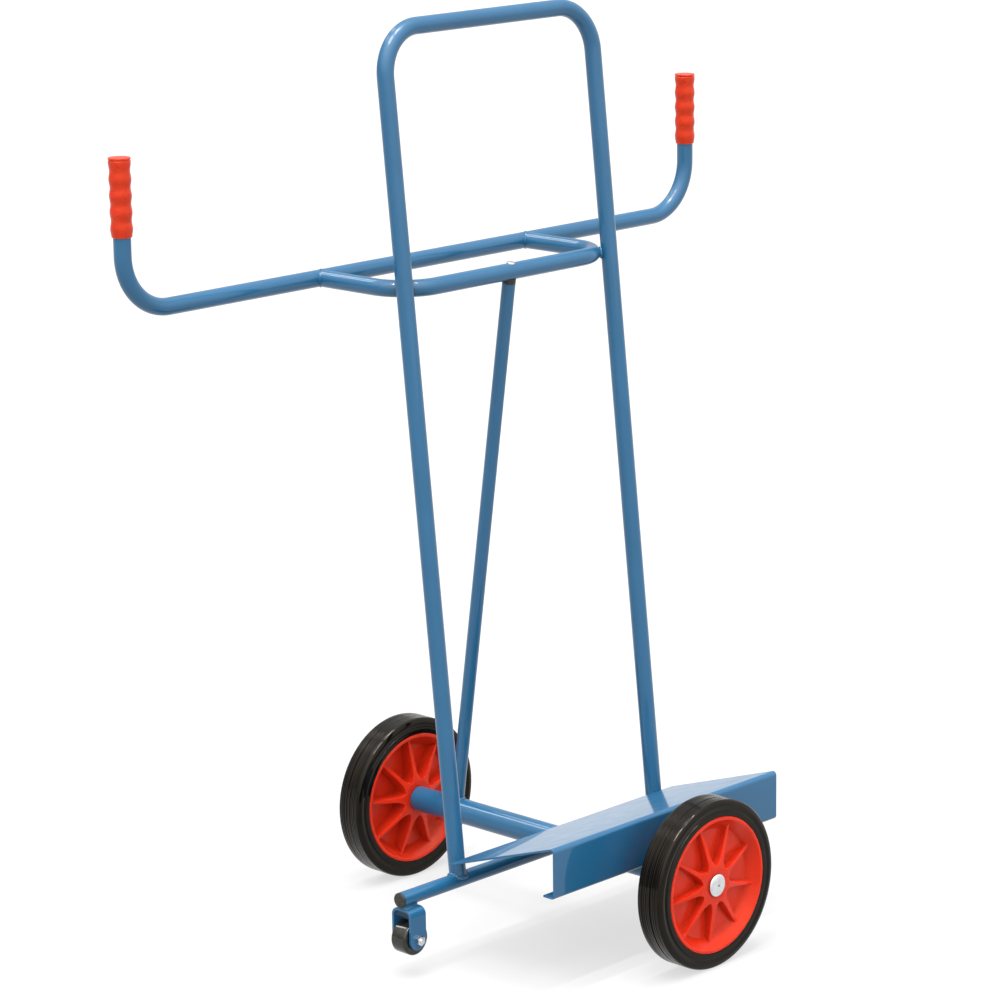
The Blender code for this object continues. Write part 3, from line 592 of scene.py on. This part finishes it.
def build_bracket():
    """U-bent tube behind the hoop's legs, welded to them and to the handle bar."""
    corners = [
        Vector((-HOOP_HALF, HANDLE_Y, HANDLE_HEIGHT)),
        Vector((-HOOP_HALF, BRACKET_Y, HANDLE_HEIGHT)),
        Vector((HOOP_HALF, BRACKET_Y, HANDLE_HEIGHT)),
        Vector((HOOP_HALF, HANDLE_Y, HANDLE_HEIGHT)),
    ]
    path = bent_path(corners, (BRACKET_BEND, BRACKET_BEND), BEND_STEPS)
    shape = tube(path, FRAME_TUBE, FRAME_WALL, Vector((0, 0, 1)))
    add_piece("bracket", shape, "blue_coat", ["standoff_bracket"])
    back = Vector((0, 1, 0))
    for side, sign in CASTER_SIDES.items():
        joint = Vector((sign * HOOP_HALF, HANDLE_Y, HANDLE_HEIGHT))
        start = joint - back * FRAME_TUBE
        line = tube_joint(
            start, back, FRAME_TUBE / 2, joint, Vector((1, 0, 0)), FRAME_TUBE / 2, FRAME_TUBE,
        )
        bead(f"handle_weld_{side}", line, joint - back * FRAME_TUBE / 2, FINE_WELD)
        add_leg_weld(side, sign)


def add_leg_weld(side, sign):
    """Bead round the place where a bracket bend touches a leg."""
    inward = Vector((-sign, 1, 0)).normalized()
    spread = Vector((sign, 1, 0)).normalized()
    touch = Vector((sign * HOOP_HALF, BRACKET_Y, HANDLE_HEIGHT)) + inward * FRAME_TUBE / 2
    points = []
    for angle in round_angles(TUBE_SIDES):
        rise = LEG_WELD_REACH * math.cos(angle)
        along_leg = Vector((0, rise * math.tan(HOOP_LEAN), rise))
        points.append(touch + spread * LEG_WELD_REACH * math.sin(angle) + along_leg)
    bead(f"leg_weld_{side}", points, touch, WELD)


def build_handle():
    """Long bar with upright ends and a ribbed grip on each of them."""
    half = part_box("handle_bar")[1].x - FRAME_TUBE / 2
    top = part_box("handle_bar")[1].z
    corners = [
        Vector((-half, HANDLE_Y, top)),
        Vector((-half, HANDLE_Y, HANDLE_HEIGHT)),
        Vector((half, HANDLE_Y, HANDLE_HEIGHT)),
        Vector((half, HANDLE_Y, top)),
    ]
    path = bent_path(corners, (HANDLE_BEND, HANDLE_BEND), BEND_STEPS)
    shape = tube(path, FRAME_TUBE, FRAME_WALL, Vector((0, 1, 0)))
    add_piece("handle", shape, "blue_coat", ["handle_bar"])
    for side in CASTER_SIDES:
        low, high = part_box(f"grip_{side}")
        place = Matrix.Translation((middle(f"grip_{side}").x, HANDLE_Y, low.z))
        shape = turned(grip_profile(high.z - low.z))
        add_piece(f"ribbed_grip_{side}", shape, "red_grip", [f"grip_{side}"], place=place)


def grip_profile(length):
    """Section of a closed sleeve with soft finger swells."""
    mean = GRIP_BORE + GRIP_WALL + GRIP_HOLLOW / 2
    spacing = (length - GRIP_HEAD) / (2 * GRIP_SWELLS - 1)
    steps = SWELL_STEPS * GRIP_SWELLS
    profile = [(GRIP_BORE, length - GRIP_END), (GRIP_BORE, 0.0), (mean - GRIP_HOLLOW, 0.0)]
    for i in range(steps + 1):
        height = GRIP_FOOT + (length - GRIP_HEAD) * i / steps
        wave = math.cos(math.pi * height / spacing)
        profile.append((mean - GRIP_HOLLOW / 2 * wave, height))
    swell = mean + GRIP_HOLLOW / 2
    groove = swell - GRIP_GROOVE
    corners = [
        (swell, length - GRIP_SHOULDER),
        (swell, length - GROOVE_START),
        (groove, length - GROOVE_FLOOR),
        (swell, length - GRIP_DISC),
        (swell, length),
        (NEAR_AXIS, length),
    ]
    return profile + rounded_profile(corners, GRIP_ROUNDING)


def build_stay():
    """Slanted stay with its plug and bolt, welded onto the axle tube."""
    top = Vector((0.0, BRACKET_Y, HANDLE_HEIGHT))
    foot = Vector((0.0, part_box("rear_stay")[1].y - STAY_TUBE / 2, AXLE_HEIGHT))
    down = (foot - top).normalized()
    place = Matrix.Translation(top) @ down.to_track_quat("Z", "Y").to_matrix().to_4x4()
    seat = FRAME_TUBE / 2
    end = seat + STAY_PLUG_RIM
    path = straight(Vector((0, 0, end)), Vector((0, 0, (foot - top).length - STAY_END)))
    shape = tube(path, STAY_TUBE, STAY_WALL, Vector((0, 1, 0)))
    add_piece("stay", shape, "blue_coat", ["rear_stay"], place=place)
    line = tube_joint(
        foot - down * AXLE_TUBE, down, STAY_TUBE / 2, foot, Vector((0, 1, 0)), AXLE_TUBE / 2, AXLE_TUBE,
    )
    bead("stay_weld", line, foot - down * AXLE_TUBE / 2, WELD)

    outer = STAY_TUBE / 2
    shank = STAY_BOLT / 2
    crown = seat - STAY_PLUG_CROWN
    corners = [(shank, crown), (outer, crown), (outer, end), (shank, end)]
    shape = turned(rounded_profile(corners, STAY_PLUG_ROUNDING))
    add_piece("stay_top_plug", shape, "black_plastic", ["stay_plug"], place=place)

    head = STAY_BOLT_HEAD / 2
    under = STAY_BOLT_RISE / 2 - seat
    rise = -seat - STAY_BOLT_RISE
    corners = [(shank, seat), (shank, -seat), (head, under), (head, rise), (NEAR_AXIS, rise)]
    shape = turned(rounded_profile(corners, STAY_BOLT_ROUNDING))
    add_piece("stay_bolt_head", shape, "bright_zinc", ["stay_bolt"], place=place)


def build_channel():
    """Folded sheet: a lip on the axle tube, an upright wall and a plate that slopes back."""
    low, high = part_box("load_channel")
    corners = [
        Vector((0.0, low.y + CHANNEL_LIP, low.z)),
        Vector((0.0, low.y, low.z)),
        Vector((0.0, low.y, low.z + CHANNEL_FOLD)),
        Vector((0.0, high.y, low.z + CHANNEL_REAR)),
    ]
    path = bent_path(corners, (CHANNEL_BEND, CHANNEL_BEND), FOLD_STEPS)
    side = Vector((1, 0, 0))
    outer = [point for point, _ in path]
    inner = [point + direction.cross(side) * CHANNEL_SHEET for point, direction in path]
    section = outer + inner[::-1]
    loops = [[Vector((x, point.y, point.z)) for point in section] for x in (low.x, high.x)]
    channel = add_piece("channel", loft(loops), "blue_coat", ["load_channel"])
    soften(channel, SHEET_EDGE)


def build_axle():
    """Axle tube with the shaft and collars in it."""
    lying = Matrix.Translation((0.0, 0.0, AXLE_HEIGHT)) @ Matrix.Rotation(-math.pi / 2, 4, "X")
    path = straight(Vector((0, 0, -AXLE_TUBE_HALF)), Vector((0, 0, AXLE_TUBE_HALF)))
    shape = tube(path, AXLE_TUBE, AXLE_TUBE_WALL, Vector((0, 1, 0)))
    add_piece("axle_casing", shape, "blue_coat", ["axle_tube"], place=lying)
    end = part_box("axle_shaft")[1].y
    half = [(AXLE_RADIUS, end), (CENTRE_DRILL, end), (NEAR_AXIS, end - CENTRE_DRILL_DEPTH)]
    corners = [(radius, -height) for radius, height in reversed(half)] + half
    shape = turned(rounded_profile(corners, SHAFT_ROUNDING))
    add_piece("wheel_shaft", shape, "grey_steel", ["axle_shaft"], place=lying)
    for side in WHEEL_SIDES:
        low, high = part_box(f"axle_collar_{side}")
        outer = AXLE_TUBE / 2 - AXLE_TUBE_WALL
        profile = [(AXLE_RADIUS, low.y), (outer, low.y), (outer, high.y), (AXLE_RADIUS, high.y)]
        shape = turned(profile, ring=True)
        add_piece(f"collar_{side}", shape, "grey_steel", [f"axle_collar_{side}"], place=lying)


def build_wheels():
    """Tyre, rim and hub pieces of both wheels."""
    for side, sign in WHEEL_SIDES.items():
        centre = Vector((0.0, middle(f"tyre_{side}").y, AXLE_HEIGHT))
        place = Matrix.Translation(centre) @ Matrix.Rotation(-sign * math.pi / 2, 4, "X")
        body = f"{side}_wheel"
        shape = turned(tyre_profile(), TYRE_STEPS, ring=True)
        add_piece(f"solid_tyre_{side}", shape, "black_rubber", [f"tyre_{side}"], body, place)
        add_piece(f"star_rim_{side}", rim_shape(), "red_rim", [f"rim_{side}"], body, place)
        add_hub_pieces(side, body, place)


def tyre_profile():
    """Section of the tyre: raised ring, step, swelling wall, round shoulder and lined tread."""
    outer = AXLE_HEIGHT
    wall = middle("tyre_front").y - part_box("tyre_front")[0].y
    tread = TREAD_WIDTH / 2
    ring = TYRE_SEAT + TYRE_BEAD
    corners = [
        (TYRE_SEAT, 0.0),
        (TYRE_SEAT, wall),
        (ring, wall),
        (ring + TYRE_STEP / 2, wall - TYRE_STEP),
        (ring + 2 * TYRE_STEP, wall - TYRE_WALL_LOW),
        (outer - TYRE_SHOULDER, wall - TYRE_WALL_HIGH),
    ]
    half = rounded_profile(corners, TYRE_ROUNDING)
    drop = half[-1][1] - tread
    for i in range(1, SHOULDER_STEPS + 1):
        angle = math.pi / 2 * i / SHOULDER_STEPS
        half.append((outer - TYRE_SHOULDER * (1 - math.sin(angle)), tread + drop * math.cos(angle)))
    other = [(radius, -height) for radius, height in reversed(half)]
    return half + tread_profile(outer) + other[:-1]


def tread_profile(outer):
    """Grooves from the outer shoulder of the tread to the inner one, each with a third of it flat."""
    points = []
    for place, width, depth in TREAD_GROOVES:
        flat = width / 6
        points.append((outer, place + width / 2))
        points.append((outer - depth, place + flat))
        points.append((outer - depth, place - flat))
        points.append((outer, place - width / 2))
    return points


def smooth_max(a, b, softness):
    overlap = max(softness - abs(a - b), 0.0) / softness
    return max(a, b) + overlap * overlap * softness / 4


def rib_half(radius):
    """Half width of a rib's flat crest, which spreads into a star round the hub."""
    lip = RIM_RADIUS - RIM_LIP
    share = min(max((radius - STAR_RADIUS) / (lip - STAR_RADIUS), 0.0), 1.0)
    half = RIB_WAIST + (RIB_TIP - RIB_WAIST) * share
    full = STAR_RADIUS * math.sin(math.pi / RIB_COUNT)
    return half + (full - RIB_WAIST) * math.exp((STAR_RADIUS - radius) / RIB_FLARE)


def rib_height(radius, across, floor, top, edge):
    """Height of the rib star at a distance across from a rib's middle line."""
    rise = top - floor
    end = RIM_FLOOR_RADIUS + RIM_WALL * RIB_END * rise / (edge - floor) + RIM_LIP / 2
    fall = max((radius - STAR_RADIUS) / (end - STAR_RADIUS), 0.0)
    crest = rise * (1 - (1 - RIB_END) * fall)
    share = min(max((across - rib_half(radius)) / RIB_FLANK, 0.0), 1.0)
    return floor + crest * (0.5 + 0.5 * math.cos(math.pi * share))


def sector_angles(radius):
    """Angles across one rib's sector, close together over the rib's sides."""
    sector = math.pi / RIB_COUNT
    crest = rib_half(radius)
    reaches = [crest * share for share in CREST_LINES]
    reaches += [crest + RIB_FLANK * share for share in FLANK_LINES]
    half = []
    for i, reach in enumerate(reaches):
        even = sector * (i + 1) / (len(reaches) + SPARE_LINES)
        widest = max(even, sector * (LINE_LIMIT + LINE_LIMIT_STEP * i))
        half.append(min(math.asin(min(1.0, reach / radius)), widest))
    last = half[-1]
    half += [last + (sector - last) * i / POCKET_STEPS for i in range(1, POCKET_STEPS)]
    return [-sector] + [-angle for angle in reversed(half)] + [0.0] + half


def rim_rows(floor, edge):
    """(radius, height) of the rows over one face, as if it had no ribs."""
    inner = STAR_RADIUS - STAR_LEAD * STAR_ROW
    rows = [(RIM_BORE + (inner - RIM_BORE) * i / HUB_ROWS, floor) for i in range(HUB_ROWS)]
    rows += [(inner + STAR_ROW * i, floor) for i in range(STAR_ROWS)]
    corners = [
        (inner + STAR_ROW * STAR_ROWS, floor),
        (RIM_FLOOR_RADIUS, floor),
        (RIM_RADIUS - RIM_LIP, edge),
        (RIM_RADIUS, edge),
        (RIM_RADIUS, 0.0),
    ]
    return rows + divided(rounded_profile(corners, RIM_ROUNDING), RIM_ROW)


def rim_face(floor, top, edge):
    """Loops of (angle, radius, height) over one face, from the bore out to the rim's edge."""
    loops = []
    for radius, base in rim_rows(floor, edge):
        loop = []
        for rib in range(RIB_COUNT):
            middle_angle = math.pi / 2 + RIB_TURN + 2 * math.pi * rib / RIB_COUNT
            for angle in sector_angles(radius):
                height = base
                if radius < RIM_RADIUS - RIM_LIP / 2:
                    across = radius * math.sin(abs(angle))
                    height = smooth_max(base, rib_height(radius, across, floor, top, edge), RIB_BLEND)
                    height = min(height, max(top, edge))
                loop.append((middle_angle + angle, radius, height))
        loops.append(loop)
    return loops


def rim_shape():
    """Dished rim with a star of ribs on both faces, joined round its edge and bore."""
    edge = RIM_WIDTH / 2
    floor = edge - RIM_FLOOR_DEPTH
    front = rim_face(floor, HUB_OUTER, edge)
    back = rim_face(RIM_FLOOR - floor, HUB_INNER, edge)
    mirrored = [[(a, r, -h) for a, r, h in loop] for loop in reversed(back[:-1])]
    loops = []
    for loop in front + mirrored:
        loops.append([Vector((r * math.cos(a), r * math.sin(a), h)) for a, r, h in loop])
    return loft(loops, ring=True)


def add_hub_pieces(side, body, place):
    """Bush, washers and domed cap of one wheel."""
    bore = AXLE_RADIUS + CLEARANCE
    bush = bore + BUSH_WALL
    low, high = BUSH_INSET - HUB_INNER, HUB_OUTER - BUSH_INSET
    shape = turned([(bore, low), (bush, low), (bush, high), (bore, high)], ring=True)
    add_piece(f"bush_{side}", shape, "white_nylon", [f"hub_bush_{side}"], body, place)

    outer_face = HUB_OUTER + CLEARANCE
    inner_face = -HUB_INNER - CLEARANCE
    washers = {
        "outer": (outer_face, outer_face + OUTER_WASHER),
        "inner": (inner_face - INNER_WASHER, inner_face),
    }
    for which, (low, high) in washers.items():
        corners = [(AXLE_RADIUS, low), (WASHER_RADIUS, low), (WASHER_RADIUS, high), (AXLE_RADIUS, high)]
        shape = turned(rounded_profile(corners, WASHER_ROUNDING), ring=True)
        add_piece(f"washer_{which}_{side}", shape, "bright_zinc", [f"{which}_washer_{side}"], place=place)
    base = outer_face + OUTER_WASHER + CLEARANCE
    shape = turned(cap_profile(base), ring=True)
    add_piece(f"cap_{side}", shape, "bright_zinc", [f"hub_cap_{side}"], place=place)


def cap_profile(base):
    """Section of a pressed cap with a rolled edge, a low dome and a hole in its middle."""
    crown = base + CAP_RISE
    bore = AXLE_RADIUS + CLEARANCE
    profile = [(bore, crown - CAP_SHEET), (bore, base), (CAP_RADIUS - CAP_EDGE / 2, base)]
    for i in range(CAP_STEPS + 1):
        angle = math.pi / 2 * i / CAP_STEPS
        reach = CAP_HOLE + (CAP_RADIUS - CAP_HOLE) * math.cos(angle)
        profile.append((reach, base + CAP_EDGE + (CAP_RISE - CAP_EDGE) * math.sin(angle)))
    profile.append((CAP_HOLE, crown - CAP_SHEET))
    return profile


def build_outriggers():
    """Outrigger tubes with end plugs and casters."""
    for side, sign in CASTER_SIDES.items():
        low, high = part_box(f"outrigger_plug_{side}")
        reach = max(abs(low.x), abs(high.x))
        lying = Matrix.Translation((0.0, BEAM_Y, BEAM_HEIGHT)) @ Matrix.Rotation(sign * math.pi / 2, 4, "Y")
        radius = OUTRIGGER_TUBE / 2
        rim = reach - END_PLUG_RIM
        path = straight(Vector((0, 0, AXLE_RADIUS + CLEARANCE)), Vector((0, 0, rim - CLEARANCE)))
        shape = tube(path, OUTRIGGER_TUBE, OUTRIGGER_WALL, Vector((0, 1, 0)))
        add_piece(f"outrigger_tube_{side}", shape, "blue_coat", [f"outrigger_{side}"], place=lying)
        corners = [
            (END_PLUG_STEM, reach - END_PLUG_DEPTH),
            (END_PLUG_STEM, rim),
            (radius, rim),
            (radius, reach),
            (NEAR_AXIS, reach),
        ]
        shape = turned(rounded_profile(corners, END_PLUG_ROUNDING))
        add_piece(f"end_plug_{side}", shape, "black_plastic", [f"outrigger_plug_{side}"], place=lying)

        along = Vector((-sign, 0, 0))
        joint = Vector((0.0, BEAM_Y, BEAM_HEIGHT))
        start = joint - along * AXLE_TUBE
        axle = Vector((0.0, 0.0, AXLE_HEIGHT))
        line = tube_joint(start, along, radius, axle, Vector((0, 1, 0)), AXLE_TUBE / 2, AXLE_TUBE)
        bead(f"outrigger_weld_{side}", line, joint - along * AXLE_TUBE / 2, WELD)
        build_caster(side)


def build_caster(side):
    """Fork with its roller, sleeve, bolt and nut."""
    centre = middle(f"caster_roller_{side}")
    add_fork(side, centre)
    place = Matrix.Translation(centre) @ Matrix.Rotation(math.pi / 2, 4, "X")
    low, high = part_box(f"caster_roller_{side}")
    half = (high.y - low.y) / 2
    radius = (high.z - low.z) / 2
    bore = SLEEVE_RADIUS + CLEARANCE
    corners = [(bore, -half), (radius, -half), (radius, half), (bore, half)]
    shape = turned(rounded_profile(corners, (ROLLER_EDGE, ROLLER_EDGE), ROLLER_EDGE_STEPS), ring=True)
    add_piece(f"roller_{side}", shape, "roller_plastic", [f"caster_roller_{side}"], f"{side}_roller", place)

    low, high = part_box(f"caster_sleeve_{side}")
    reach = (high.y - low.y) / 2
    shank = CASTER_BOLT / 2
    profile = [(shank, -reach), (SLEEVE_RADIUS, -reach), (SLEEVE_RADIUS, reach), (shank, reach)]
    shape = turned(profile, ring=True)
    add_piece(f"sleeve_{side}", shape, "grey_steel", [f"caster_sleeve_{side}"], place=place)

    low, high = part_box(f"caster_fork_{side}")
    face = (high.y - low.y) / 2
    nut = hexagon_loops(face, face + NUT_HEIGHT)
    nut = [circle(shank, face, ROUND_STEPS)] + nut + [circle(shank, face + NUT_HEIGHT, ROUND_STEPS)]
    add_piece(f"nut_{side}", loft(nut, ring=True), "bright_zinc", [f"caster_nut_{side}"], place=place)
    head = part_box(f"caster_bolt_{side}")[1].y - centre.y
    loops = hexagon_loops(face, head)
    loops = [[Vector((p.x, p.y, -p.z)) for p in loop] for loop in reversed(loops)]
    end = face + NUT_HEIGHT + BOLT_END
    corners = [(shank, -face), (shank, end), (NEAR_AXIS, end)]
    rounded_end = rounded_profile(corners, BOLT_END_ROUNDING)
    loops += [circle(radius, height, ROUND_STEPS) for radius, height in rounded_end]
    add_piece(f"bolt_{side}", loft(loops), "bright_zinc", [f"caster_bolt_{side}"], place=place)


def hexagon_loops(low, high):
    """Loops of a hexagon with a turned chamfer on its upper edge."""
    flat = BOLT_ACROSS_FLATS / 2
    washer_face = BOLT_FACE * flat
    lower, upper, top = [], [], []
    for angle in round_angles(ROUND_STEPS):
        turn = (angle + math.pi / 6) % (math.pi / 3) - math.pi / 6
        radius = flat / math.cos(turn)
        ray = Vector((math.cos(angle), math.sin(angle), 0.0))
        lower.append(ray * radius + Vector((0, 0, low)))
        drop = (radius - washer_face) * math.tan(BOLT_CHAMFER)
        upper.append(ray * radius + Vector((0, 0, high - drop)))
        top.append(ray * washer_face + Vector((0, 0, high)))
    return [lower, upper, top]


def add_fork(side, centre):
    """Flat bar bent into a U with round tips, welded under the outrigger."""
    low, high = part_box(f"caster_fork_{side}")
    half_y = (high.y - low.y) / 2
    top = high.z - FORK_WELD_RISE - centre.z
    tip = FORK_WIDTH / 2
    corners = [
        Vector((0.0, -half_y, 0.0)),
        Vector((0.0, -half_y, top)),
        Vector((0.0, half_y, top)),
        Vector((0.0, half_y, 0.0)),
    ]
    up = Vector((0, 0, 1))
    path = bent_path(corners, (FORK_BEND, FORK_BEND), FOLD_STEPS)
    angles = [FORK_TIP_ARC * (1 - i / FORK_TIP_STEPS) for i in range(FORK_TIP_STEPS)]
    front = [(Vector((0.0, -half_y, -tip * math.sin(a))), up) for a in angles]
    rear = [(Vector((0.0, half_y, -tip * math.sin(a))), -up) for a in reversed(angles)]
    narrow = [tip * math.cos(a) for a in angles]
    widths = narrow + [tip] * len(path) + narrow[::-1]
    side_way = Vector((1, 0, 0))
    loops = []
    for (point, direction), half in zip(front + path + rear, widths):
        inner = point + direction.cross(side_way) * FORK_SHEET
        wide = side_way * half
        loops.append([point - wide, point + wide, inner + wide, inner - wide])
    place = Matrix.Translation(centre)
    fork = add_piece(f"fork_{side}", loft(loops), "blue_coat", [f"caster_fork_{side}"], place=place)
    soften(fork, FORK_EDGE)
    add_fork_weld(side, centre, high.z - FORK_WELD_RISE)


def add_fork_weld(side, centre, fork_top):
    """Hollow weld fillets between the fork's top and the outrigger above it."""
    tube_radius = OUTRIGGER_TUBE / 2
    tube_height = BEAM_HEIGHT - fork_top
    spread = math.sqrt((tube_radius + FORK_FILLET) ** 2 - (tube_height - FORK_FILLET) ** 2)
    first = math.atan2(tube_height - FORK_FILLET, -spread)
    arc = []
    for i in range(FORK_WELD_STEPS + 1):
        angle = first + (1.5 * math.pi - first) * i / FORK_WELD_STEPS
        arc.append((spread + FORK_FILLET * math.cos(angle), FORK_FILLET * (1 + math.sin(angle))))
    arc.append((spread, -FORK_WELD_SINK))
    section = arc + [(-y, z) for y, z in reversed(arc)]
    out = math.copysign(1.0, centre.x)
    loops = []
    for share, size in FORK_WELD_SIZES:
        x = centre.x + out * (FORK_WIDTH / 2 - FORK_EDGE - FORK_WELD_LENGTH * share)
        loops.append([Vector((x, BEAM_Y + size * y, fork_top + size * z)) for y, z in section])
    add_piece(f"fork_weld_{side}", loft(loops), "blue_coat")


def add_math(tree, operation, first, second):
    """A math node fed by sockets or plain numbers."""
    node = tree.nodes.new("ShaderNodeMath")
    node.operation = operation
    for socket, value in zip(node.inputs, (first, second)):
        if isinstance(value, float):
            socket.default_value = value
        else:
            tree.links.new(value, socket)
    return node.outputs["Value"]


def build_world():
    """Surroundings brighter in front than behind, a soft main light, strips and panels of light."""
    world = bpy.data.worlds.new("studio")
    world.use_nodes = True
    tree = world.node_tree
    split = tree.nodes.new("ShaderNodeSeparateXYZ")
    tree.links.new(tree.nodes.new("ShaderNodeTexCoord").outputs["Generated"], split.inputs["Vector"])
    height = add_math(tree, "MAXIMUM", split.outputs["Z"], 0.0)
    tilt = add_math(tree, "MULTIPLY", split.outputs["Y"], (SKY_FAR - SKY_NEAR) / 2)
    light = add_math(tree, "ADD", tilt, (SKY_FAR + SKY_NEAR) / 2)
    light = add_math(tree, "ADD", light, add_math(tree, "MULTIPLY", height, SKY_RISE))
    facing = 0.0
    for axis, share in zip("XYZ", KEY_WAY):
        facing = add_math(tree, "ADD", add_math(tree, "MULTIPLY", split.outputs[axis], share), facing)
    key = add_math(tree, "POWER", add_math(tree, "MAXIMUM", facing, 0.0), KEY_FOCUS)
    key = add_math(tree, "MULTIPLY", key, height)
    light = add_math(tree, "ADD", light, add_math(tree, "MULTIPLY", key, KEY_LIGHT))
    above = add_math(tree, "GREATER_THAN", split.outputs["Z"], 0.0)
    lamps = [((x, y), STRIP_HALF, STRIP_LIGHT) for x in CEILING_COLUMNS for y in CEILING_ROWS]
    lamps += [(place, PANEL_HALF, PANEL_LIGHT) for place in PANEL_PLACES]
    for place, half, strength in lamps:
        inside = above
        for axis, centre, reach in zip("XY", place, half):
            off = add_math(tree, "SUBTRACT", split.outputs[axis], centre)
            near = add_math(tree, "LESS_THAN", add_math(tree, "ABSOLUTE", off, 0.0), reach)
            inside = add_math(tree, "MULTIPLY", inside, near)
        light = add_math(tree, "ADD", light, add_math(tree, "MULTIPLY", inside, strength))
    background = tree.nodes["Background"]
    background.inputs["Color"].default_value = WHITE
    tree.links.new(light, background.inputs["Strength"])
    bpy.context.scene.world = world


def build_studio():
    """Pale floor, lit surroundings and the camera."""
    mesh = bpy.data.meshes.new("floor")
    corners = [(-1, -1), (1, -1), (1, 1), (-1, 1)]
    mesh.from_pydata([(x * FLOOR_HALF, y * FLOOR_HALF, 0.0) for x, y in corners], [], [(0, 1, 2, 3)])
    mesh.materials.append(make_material("floor", **FLOOR_FINISH))
    floor = bpy.data.objects.new("floor", mesh)
    bpy.context.collection.objects.link(floor)

    scene = bpy.context.scene
    build_world()
    scene.view_settings.view_transform = "Standard"

    lens = bpy.data.cameras.new("camera")
    lens.lens = CAMERA_LENS
    lens.sensor_width = SENSOR
    camera = bpy.data.objects.new("camera", lens)
    bpy.context.collection.objects.link(camera)
    turn = Matrix.Rotation(-CAMERA_HEADING, 4, "Z") @ Matrix.Rotation(math.pi / 2 - CAMERA_DIP, 4, "X")
    camera.matrix_world = Matrix.Translation(CAMERA_PLACE) @ turn @ Matrix.Rotation(CAMERA_ROLL, 4, "Z")
    scene.camera = camera


build_studio()
build_hoop()
build_bracket()
build_handle()
build_stay()
build_channel()
build_axle()
build_wheels()
build_outriggers()
